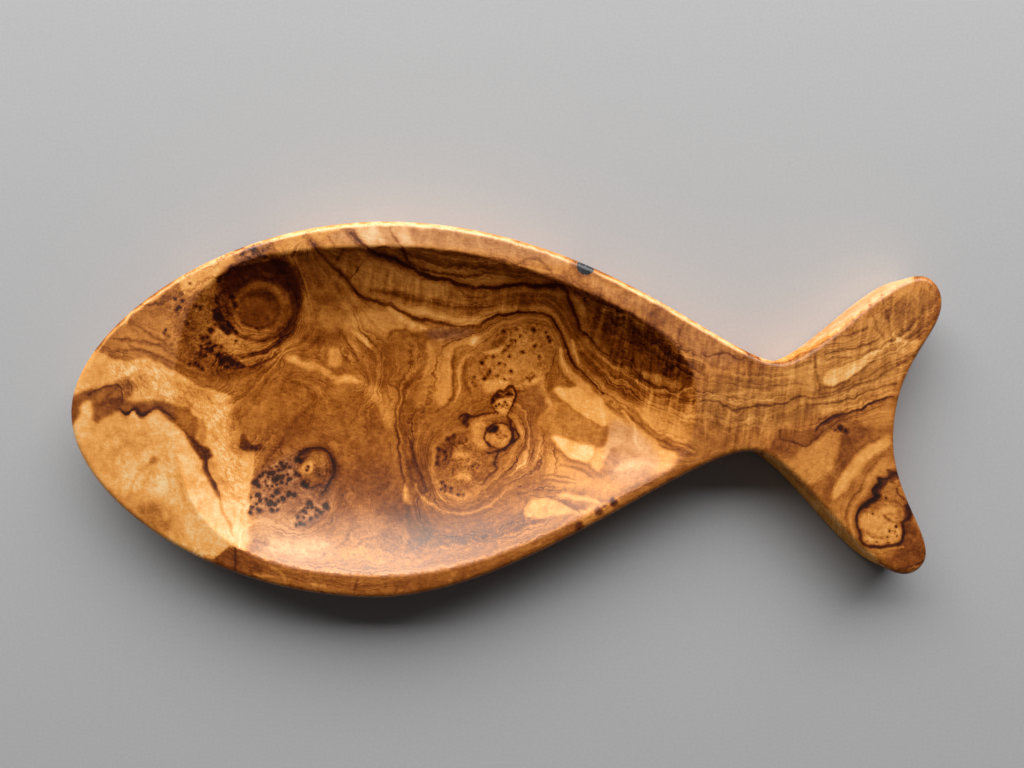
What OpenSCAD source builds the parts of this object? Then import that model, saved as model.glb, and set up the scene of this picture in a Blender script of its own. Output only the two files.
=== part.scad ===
// Fish-shaped serving dish, carved from one thick board of olive wood.
// The fish lies on its flat base with its nose towards -X, its back towards +Y and its tail
// towards +X. The origin is in the middle of its box, on the base. Sizes are in millimetres.

/* [Body] */
// Nose to the middle of the waist
body_l = 223; // [200:1:260]
// Back to belly, where the body is widest
body_w = 121; // [105:1:140]
// Thickness of the board
height = 20; // [17:0.5:30]
// Nose to where the back and the hollow are widest
back_x = 101; // [90:1:112]
// Nose to where the belly is widest
belly_x = 98; // [86:1:110]
// How far the nose lies below the middle line
nose_drop = 1; // [0:0.5:5]
// Back to belly at the waist
waist_w = 29; // [25:1:38]
// How far the waist's middle lies above the middle line
waist_rise = 1; // [0:0.5:4]
// How far the waist's upper side lies behind its lower side
waist_skew = 9; // [2:1:14]
// Radius of the rounded edges round the top
edge_r = 2; // [1:0.25:3]
// Radius of the rounded edges round the base
base_r = 3; // [1:0.25:4]

/* [Tail] */
// Middle of the waist to the end of the upper lobe
tail_l = 57; // [48:1:70]
// Middle line to the top of the upper lobe
upper_rise = 43; // [36:1:52]
// Middle line to the bottom of the lower lobe
lower_drop = 53; // [44:1:60]
// How much shorter the lower lobe is than the upper one
lower_short = 5; // [0:0.5:8]
// Length of each lobe's round tip
tip_l = 7; // [5:0.5:9]
// Height of the upper lobe's round tip
upper_tip_h = 8.5; // [6:0.5:11]
// Height of the lower lobe's round tip
lower_tip_h = 7; // [5:0.5:10]
// End of the upper lobe to the bottom of the notch between the lobes
notch_l = 15.5; // [11:0.5:20]
// How far the notch lies below the middle line
notch_drop = 10; // [4:1:16]

/* [Hollow] */
// Depth of the hollow at its middle
depth = 13; // [9:0.5:15]
// Radius of the eased edge between the rim and the hollow
rim_r = 2; // [0.5:0.25:4]
// Rim left at the back
rim_back = 8.5; // [5:0.5:12]
// Rim left between the back and the waist
rim_shoulder = 8.5; // [4:0.5:11]
// Rim left between the belly and the waist
rim_heel = 4; // [3:0.25:8]
// Rim left at the belly
rim_belly = 7.5; // [5:0.5:12]
// Nose to the hollow
nose_land = 34; // [26:1:44]
// Hollow to the middle of the waist
waist_land = 22.5; // [18:0.5:32]
// How far the hollow's end at the waist lies above the middle line
end_rise = 3; // [0:0.5:6]
// How the hollow curves: 2 is an even bowl, more makes the wall steeper and the floor flatter
bowl_power = 2.7; // [2:0.1:4]

/* [Filler] */
// Radius of the knot hole at the top of the rim
fill_r = 3; // [2:0.25:4]
// Radius at the bottom of the knot hole
fill_tip_r = 1.2; // [0.5:0.1:2]
// Depth of the knot hole
fill_depth = 7; // [4:0.5:10]
// Outer edge to the middle of the knot hole
fill_inset = 0.5; // [0:0.25:1.5]
// Where the knot hole lies along the edge from the back to the waist
fill_share = 0.37; // [0.2:0.005:0.5]

/* [Hidden] */

// Steps along each curve of the outline, an even number, and along each curve of the hollow's rim
outline_steps = 14;
rim_steps = 12;
// Steps round a rounded edge, and down the hollow's wall
edge_steps = 4;
bowl_steps = 13;
// Sides of the knot hole
hole_sides = 48;
// How far a cutting shape stands past the face that it cuts
overrun = 2;

fish_l = body_l + tail_l;
waist_top_x = body_l + waist_skew / 2;
waist_bottom_x = body_l - waist_skew / 2;

// An outline runs clockwise through its nodes. A node is a point and the heading, in degrees, in
// which the outline passes it. The fish's outline has a node at each of its extreme points, and
// starts at the nose.
outline_nodes = [
    [0, -nose_drop, 90],
    [back_x, body_w / 2, 0],
    [waist_top_x, waist_rise + waist_w / 2, 0],
    [fish_l - tip_l, upper_rise, 0],
    [fish_l, upper_rise - upper_tip_h, -90],
    [fish_l - notch_l, -notch_drop, -90],
    [fish_l - lower_short, lower_tip_h - lower_drop, -90],
    [fish_l - lower_short - tip_l, -lower_drop, 180],
    [waist_bottom_x, waist_rise - waist_w / 2, 180],
    [belly_x, -body_w / 2, 180],
];
// How far the curve from each node to the next keeps to the first heading and to the second, as
// shares of the way that it goes in that heading
outline_shares = [
    [0.43, 0.54],
    [0.535, 0.13],
    [0.27, 0.27],
    [0.55, 0.55],
    [0.25, 0.58],
    [0.44, 0.22],
    [0.55, 0.55],
    [0.29, 0.29],
    [0.17, 0.38],
    [0.54, 0.46],
];
// The outline's curves from the back to the waist, and from the waist to the belly
back_edge = outline_controls(1);
belly_edge = outline_controls(8);
// Where on those two curves the hollow's rim has a node beside them
shoulder_share = 0.42;
heel_share = 0.30;

// The hollow's rim, from its end at the nose
rim_nodes = [
    [nose_land, 0, 90],
    [back_x, body_w / 2 - rim_back, 0],
    edge_node(back_edge, shoulder_share, rim_shoulder),
    [body_l - waist_land, end_rise, -90],
    edge_node(belly_edge, heel_share, rim_heel),
    [back_x, rim_belly - body_w / 2, 180],
];
rim_shares = [
    [0.84, 0.78],
    [0.36, 0.33],
    [0.57, 0.42],
    [0.50, 0.40],
    [0.33, 0.36],
    [0.70, 0.72],
];
bowl_middle = [(nose_land + body_l - waist_land) / 2, 0];
// The angle of the hollow's wall at the back, and how deep the eased edge goes to turn to it
wall_angle = atan(bowl_power * depth / (body_w / 2 - rim_back));
ease_depth = rim_r * (1 - cos(wall_angle));

function along(heading) = [cos(heading), sin(heading)];

// The four control points of the cubic curve from node a to node b
function controls(a, b, shares) =
    let (p = [a.x, a.y], q = [b.x, b.y], u = along(a.z), v = along(b.z))
    [p, p + u * ((q - p) * u) * shares[0], q - v * ((q - p) * v) * shares[1], q];

function curve_point(c, t) =
    pow(1 - t, 3) * c[0] + 3 * t * pow(1 - t, 2) * c[1] + 3 * t * t * (1 - t) * c[2] + pow(t, 3) * c[3];

function curve_way(c, t) =
    pow(1 - t, 2) * (c[1] - c[0]) + 2 * t * (1 - t) * (c[2] - c[1]) + t * t * (c[3] - c[2]);

// The point of a curve at t, moved to its right by inset, which is inwards
function inset_point(c, t, inset) =
    let (way = curve_way(c, t))
    curve_point(c, t) + inset * [way.y, -way.x] / norm(way);

function outline_controls(i) = controls(outline_nodes[i], outline_nodes[i + 1], outline_shares[i]);

// A node that lies inset from a curve, at a share of it
function edge_node(c, share, inset) =
    let (p = inset_point(c, share, inset), way = curve_way(c, share))
    [p.x, p.y, atan2(way.y, way.x)];

// A closed outline through the nodes, moved inwards by inset
function closed_curve(nodes, shares, steps, inset) = [
    for (i = [0 : len(nodes) - 1])
        let (c = controls(nodes[i], nodes[(i + 1) % len(nodes)], shares[i]))
            for (k = [0 : steps - 1]) inset_point(c, k / steps, inset)
];

function lifted(points, z) = [for (p = points) [p.x, p.y, z]];
function turned(faces) = [for (f = faces) [f[2], f[1], f[0]]];
function shifted(faces, by) = [for (f = faces) f + [by, by, by]];

// The angles round a quarter turn
function quarter(steps) = [for (k = [0 : steps]) 90 * k / steps];

// Triangles between each closed ring of points and the next one
function wall_faces(rings, count) = [
    for (j = [0 : rings - 2], k = [0 : count - 1])
        let (a = j * count + k, b = j * count + (k + 1) % count)
            each [[a, b, b + count], [a, b + count, a + count]]
];

// Triangles across a finger of an outline, whose two sides start at points first and last
function strip_faces(first, last, steps, count) = [
    for (k = [0 : steps - 1])
        let (a = first + k, b = a + 1, c = last - k - 1, d = (last - k) % count)
            each concat(b == c ? [] : [[a, b, c]], a == d ? [] : [[a, c, d]])
];

// Triangles that close the fish's outline: the body, the two lobes, and the one between them
function fish_faces(n) =
    let (count = n * len(outline_nodes), lobe = n * 3 / 2)
    concat(
        strip_faces(0, count, 2 * n, count),
        strip_faces(2 * n, 5 * n, lobe, count),
        strip_faces(5 * n, 8 * n, lobe, count),
        [[2 * n, 5 * n, 8 * n]]
    );

// The board, sawn to the fish's outline, with its edges rounded over
module blank() {
    layers = concat(
        [for (a = quarter(edge_steps)) [base_r * (1 - sin(a)), base_r * (1 - cos(a))]],
        [for (a = quarter(edge_steps)) [edge_r * (1 - cos(a)), height - edge_r * (1 - sin(a))]]
    );
    count = outline_steps * len(outline_nodes);
    points = [
        for (layer = layers)
            each lifted(closed_curve(outline_nodes, outline_shares, outline_steps, layer[0]), layer[1])
    ];
    cap = fish_faces(outline_steps);
    polyhedron(points, concat(
        turned(cap),
        wall_faces(len(layers), count),
        shifted(cap, count * (len(layers) - 1))
    ));
}

function rim_ring(outset, z) = lifted(closed_curve(rim_nodes, rim_shares, rim_steps, -outset), z);

// The hollow's rim, drawn in towards the middle to the given size
function bowl_ring(size, z) =
    let (rim = closed_curve(rim_nodes, rim_shares, rim_steps, 0))
    lifted([for (p = rim) bowl_middle + (p - bowl_middle) * size], z);

// The carved hollow: an eased edge, then a wall that levels out evenly to the floor
module hollow() {
    ease_out = rim_r * sin(wall_angle);
    ease = [
        for (k = [0 : edge_steps])
            let (a = wall_angle * k / edge_steps)
                rim_ring(ease_out - rim_r * sin(a), height - rim_r * (1 - cos(a)))
    ];
    bowl = [
        for (k = [1 : bowl_steps - 1])
            let (size = 1 - k / bowl_steps)
                bowl_ring(size, height - ease_depth - (depth - ease_depth) * (1 - pow(size, bowl_power)))
    ];
    rings = concat([rim_ring(ease_out, height + overrun)], ease, bowl);
    count = rim_steps * len(rim_nodes);
    lowest = len(rings) * count;
    floor_ring = lowest - count;
    points = concat(
        [for (ring = rings) each ring],
        lifted([bowl_middle], height - depth),
        lifted([bowl_middle], height + overrun)
    );
    polyhedron(points, concat(
        turned(wall_faces(len(rings), count)),
        [for (k = [0 : count - 1]) [lowest, floor_ring + k, floor_ring + (k + 1) % count]],
        [for (k = [0 : count - 1]) [lowest + 1, (k + 1) % count, k]]
    ));
}

// The knot hole at the outer edge of the rim, narrowing downwards
module knot_hole() {
    place = inset_point(back_edge, fill_share, fill_inset);
    flare = (fill_r - fill_tip_r) * overrun / fill_depth;
    translate([place.x, place.y, height - fill_depth])
        cylinder(h = fill_depth + overrun, r1 = fill_tip_r, r2 = fill_r + flare, $fn = hole_sides);
}

// The carved dish, one piece of wood
module dish_body() {
    color("peru")
        translate([-fish_l / 2, 0, 0])
            difference() {
                blank();
                hollow();
                knot_hole();
            }
}

// Dark resin that fills the knot hole, flush with the rim and the side
module rim_filler() {
    color("dimgray")
        translate([-fish_l / 2, 0, 0])
            intersection() {
                blank();
                knot_hole();
            }
}

dish_body();
rim_filler();
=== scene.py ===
# Fish-shaped dish carved from one board of olive wood, with a knot hole in its rim filled with resin.
# The meshes follow the same curves as the solids, at a finer step. The figure of the wood is drawn as
# soft patches, strokes, veins and dots, which the wood's material turns into colour and grain.
# Some of the patches and strokes paint shade, sheen and highlights into the colour of the wood.
import math

import bmesh
import bpy
import numpy as np
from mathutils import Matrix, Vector
from mathutils.geometry import delaunay_2d_cdt
from mathutils.kdtree import KDTree


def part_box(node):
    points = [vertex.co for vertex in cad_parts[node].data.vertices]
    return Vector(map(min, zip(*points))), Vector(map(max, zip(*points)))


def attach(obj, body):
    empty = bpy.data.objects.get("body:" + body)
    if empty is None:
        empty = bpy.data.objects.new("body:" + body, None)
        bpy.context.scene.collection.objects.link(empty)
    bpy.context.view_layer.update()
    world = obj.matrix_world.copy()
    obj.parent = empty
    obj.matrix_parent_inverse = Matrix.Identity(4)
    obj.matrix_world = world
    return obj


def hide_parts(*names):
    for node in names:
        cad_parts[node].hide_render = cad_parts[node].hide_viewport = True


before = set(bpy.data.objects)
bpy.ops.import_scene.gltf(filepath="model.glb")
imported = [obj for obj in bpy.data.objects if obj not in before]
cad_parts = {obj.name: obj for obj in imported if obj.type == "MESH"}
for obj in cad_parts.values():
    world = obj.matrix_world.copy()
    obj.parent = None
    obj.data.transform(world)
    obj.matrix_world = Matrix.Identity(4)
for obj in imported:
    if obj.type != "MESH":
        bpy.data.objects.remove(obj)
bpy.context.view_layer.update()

# Sizes in millimetres, as in the solids. The three overall sizes come from the box of the dish's solid.
MM = 0.001
dish_low, dish_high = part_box("dish_body")
fish_l, body_w, height = (round(side / MM, 3) for side in dish_high - dish_low)

TAIL_L = 57
BACK_X = 101
BELLY_X = 98
NOSE_DROP = 1
WAIST_W = 29
WAIST_RISE = 1
WAIST_SKEW = 9
EDGE_R = 2
BASE_R = 3
UPPER_RISE = 43
LOWER_DROP = 53
LOWER_SHORT = 5
TIP_L = 7
UPPER_TIP_H = 8.5
LOWER_TIP_H = 7
NOTCH_L = 15.5
NOTCH_DROP = 10
DEPTH = 13
RIM_R = 2
RIM_BACK = 8.5
RIM_SHOULDER = 8.5
RIM_HEEL = 4
RIM_BELLY = 7.5
NOSE_LAND = 34
WAIST_LAND = 22.5
END_RISE = 3
BOWL_POWER = 2.7
FILL_R = 3
FILL_TIP_R = 1.2
FILL_DEPTH = 7
FILL_INSET = 0.5
FILL_SHARE = 0.37
SHOULDER_SHARE = 0.42
HEEL_SHARE = 0.30

# Which curves of the outline run from the back to the waist, and from the waist to the belly
BACK_EDGE = 1
BELLY_EDGE = 8

body_l = fish_l - TAIL_L
wall_angle = math.atan(BOWL_POWER * DEPTH / (body_w / 2 - RIM_BACK))
ease_depth = RIM_R * (1 - math.cos(wall_angle))

# How fine the curves and meshes are, and how their points are put together
CURVE_SAMPLES = 400
EDGE_STEP = 0.85
RIM_STEP = 0.7
TOP_STEP = 0.62
BASE_STEP = 2.5
ROUND_STEPS = 6
SIDE_STEPS = 9
HOLE_SIDES = 64
OVERRUN = 2
LOOP_CLEAR_SHARE = 0.6
LINE_CLEAR_SHARE = 0.7
LINE_THIN = 0.3
WELD = 1e-9
INSIDE_ONLY = 1
TINY = 1e-12
CREASE = math.radians(40)

# The camera that the figure is drawn through: its place in millimetres, then its focal length and the
# size of its picture in pixels
EYE = (1.8, 8.2, 308.0)
FOCAL_PX = 900.0
PICTURE_PX = (1024, 768)
SENSOR_W = 36.0
CLIP_SHARE = 0.01


def along(heading):
    """The direction of a heading in degrees."""
    turn = math.radians(heading)
    return np.array([math.cos(turn), math.sin(turn)])


def controls(a, b, shares):
    """The four control points of the cubic curve from node a to node b."""
    p, q = np.array(a[:2], float), np.array(b[:2], float)
    u, v = along(a[2]), along(b[2])
    return np.array([p, p + u * ((q - p) @ u) * shares[0], q - v * ((q - p) @ v) * shares[1], q])


def curve_points(c, t):
    """Points of a cubic curve at shares t of it."""
    t = np.asarray(t, float)[:, None]
    return (1 - t) ** 3 * c[0] + 3 * t * (1 - t) ** 2 * c[1] + 3 * t * t * (1 - t) * c[2] + t**3 * c[3]


def curve_ways(c, t):
    """Which way a cubic curve runs at shares t of it."""
    t = np.asarray(t, float)[:, None]
    return (1 - t) ** 2 * (c[1] - c[0]) + 2 * t * (1 - t) * (c[2] - c[1]) + t * t * (c[3] - c[2])


def inset_points(c, t, inset):
    """Points of a curve, moved to its right, which is inwards."""
    ways = curve_ways(c, t)
    ways /= np.linalg.norm(ways, axis=1)[:, None]
    return curve_points(c, t) + inset * np.stack([ways[:, 1], -ways[:, 0]], 1)


def even_shares(c, step):
    """Shares of a curve that lie about a step apart on it, without its end."""
    dense = np.linspace(0, 1, CURVE_SAMPLES)
    gaps = np.linalg.norm(np.diff(curve_points(c, dense), axis=0), axis=1)
    way = np.concatenate([[0], np.cumsum(gaps)])
    count = max(ROUND_STEPS, math.ceil(way[-1] / step))
    return np.interp(way[-1] * np.arange(count) / count, way, dense)


class ClosedCurve:
    """A closed outline through nodes of x, y and heading, which can be moved inwards."""

    def __init__(self, nodes, shares, step):
        pairs = zip(nodes, nodes[1:] + nodes[:1], shares)
        self.curves = [controls(a, b, s) for a, b, s in pairs]
        self.shares = [even_shares(c, step) for c in self.curves]

    def ring(self, inset):
        return np.concatenate([inset_points(c, t, inset) for c, t in zip(self.curves, self.shares)])


def edge_node(c, share, inset):
    """A node inside a curve, with the curve's heading."""
    x, y = inset_points(c, [share], inset)[0]
    way = curve_ways(c, [share])[0]
    return (x, y, math.degrees(math.atan2(way[1], way[0])))


def fish_outline():
    waist_top_x = body_l + WAIST_SKEW / 2
    waist_bottom_x = body_l - WAIST_SKEW / 2
    nodes = [
        (0, -NOSE_DROP, 90),
        (BACK_X, body_w / 2, 0),
        (waist_top_x, WAIST_RISE + WAIST_W / 2, 0),
        (fish_l - TIP_L, UPPER_RISE, 0),
        (fish_l, UPPER_RISE - UPPER_TIP_H, -90),
        (fish_l - NOTCH_L, -NOTCH_DROP, -90),
        (fish_l - LOWER_SHORT, LOWER_TIP_H - LOWER_DROP, -90),
        (fish_l - LOWER_SHORT - TIP_L, -LOWER_DROP, 180),
        (waist_bottom_x, WAIST_RISE - WAIST_W / 2, 180),
        (BELLY_X, -body_w / 2, 180),
    ]
    shares = [
        (0.43, 0.54),
        (0.535, 0.13),
        (0.27, 0.27),
        (0.55, 0.55),
        (0.25, 0.58),
        (0.44, 0.22),
        (0.55, 0.55),
        (0.29, 0.29),
        (0.17, 0.38),
        (0.54, 0.46),
    ]
    return ClosedCurve(nodes, shares, EDGE_STEP)


def hollow_rim(outline):
    nodes = [
        (NOSE_LAND, 0, 90),
        (BACK_X, body_w / 2 - RIM_BACK, 0),
        edge_node(outline.curves[BACK_EDGE], SHOULDER_SHARE, RIM_SHOULDER),
        (body_l - WAIST_LAND, END_RISE, -90),
        edge_node(outline.curves[BELLY_EDGE], HEEL_SHARE, RIM_HEEL),
        (BACK_X, RIM_BELLY - body_w / 2, 180),
    ]
    shares = [
        (0.84, 0.78),
        (0.36, 0.33),
        (0.57, 0.42),
        (0.50, 0.40),
        (0.33, 0.36),
        (0.70, 0.72),
    ]
    return ClosedCurve(nodes, shares, RIM_STEP)


outline = fish_outline()
rim = hollow_rim(outline)
bowl_middle = np.array([(NOSE_LAND + body_l - WAIST_LAND) / 2, 0])


def inside(points, loop):
    """Which points lie inside a closed loop."""
    found = np.zeros(len(points), bool)
    x, y = points[:, 0], points[:, 1]
    for a, b in zip(loop, np.roll(loop, 1, axis=0)):
        if a[1] == b[1]:
            continue
        crosses = (a[1] > y) != (b[1] > y)
        found ^= crosses & (x < (b[0] - a[0]) * (y - a[1]) / (b[1] - a[1]) + a[0])
    return found


def path_distance(points, path):
    """The distance of each point from a path, and how far along the path its nearest place is."""
    nearest = np.full(len(points), np.inf)
    share = np.zeros(len(points))
    last = max(len(path) - 1, 1)
    for i, (a, b) in enumerate(zip(path[:-1], path[1:])):
        way = b - a
        t = np.clip((points - a) @ way / max(way @ way, TINY), 0, 1)
        gap = np.linalg.norm(points - a - t[:, None] * way, axis=1)
        closer = gap < nearest
        nearest[closer] = gap[closer]
        share[closer] = (i + t[closer]) / last
    return nearest, share


def closed(loop):
    """A loop with its first point again at its end."""
    return np.concatenate([loop, loop[:1]])


def bowl_height(size):
    """Height of the hollow's surface where the rim is drawn in to a size."""
    return height - ease_depth - (DEPTH - ease_depth) * (1 - size**BOWL_POWER)


def bowl_size(points):
    """How far each point is from the middle of the hollow, as a share of the way to its rim."""
    edge = rim.ring(0) - bowl_middle
    angle = np.arctan2(edge[:, 1], edge[:, 0])
    order = np.argsort(angle)
    from_middle = points - bowl_middle
    reach = np.interp(
        np.arctan2(from_middle[:, 1], from_middle[:, 0]),
        angle[order],
        np.linalg.norm(edge, axis=1)[order],
        period=2 * math.pi,
    )
    return np.linalg.norm(from_middle, axis=1) / reach


# The figure of the wood, drawn in pixels of the picture that the camera takes. Tones run from 0, the
# darkest vein, to 1, the palest sapwood.
WOOD_TONE = 0.46

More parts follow.
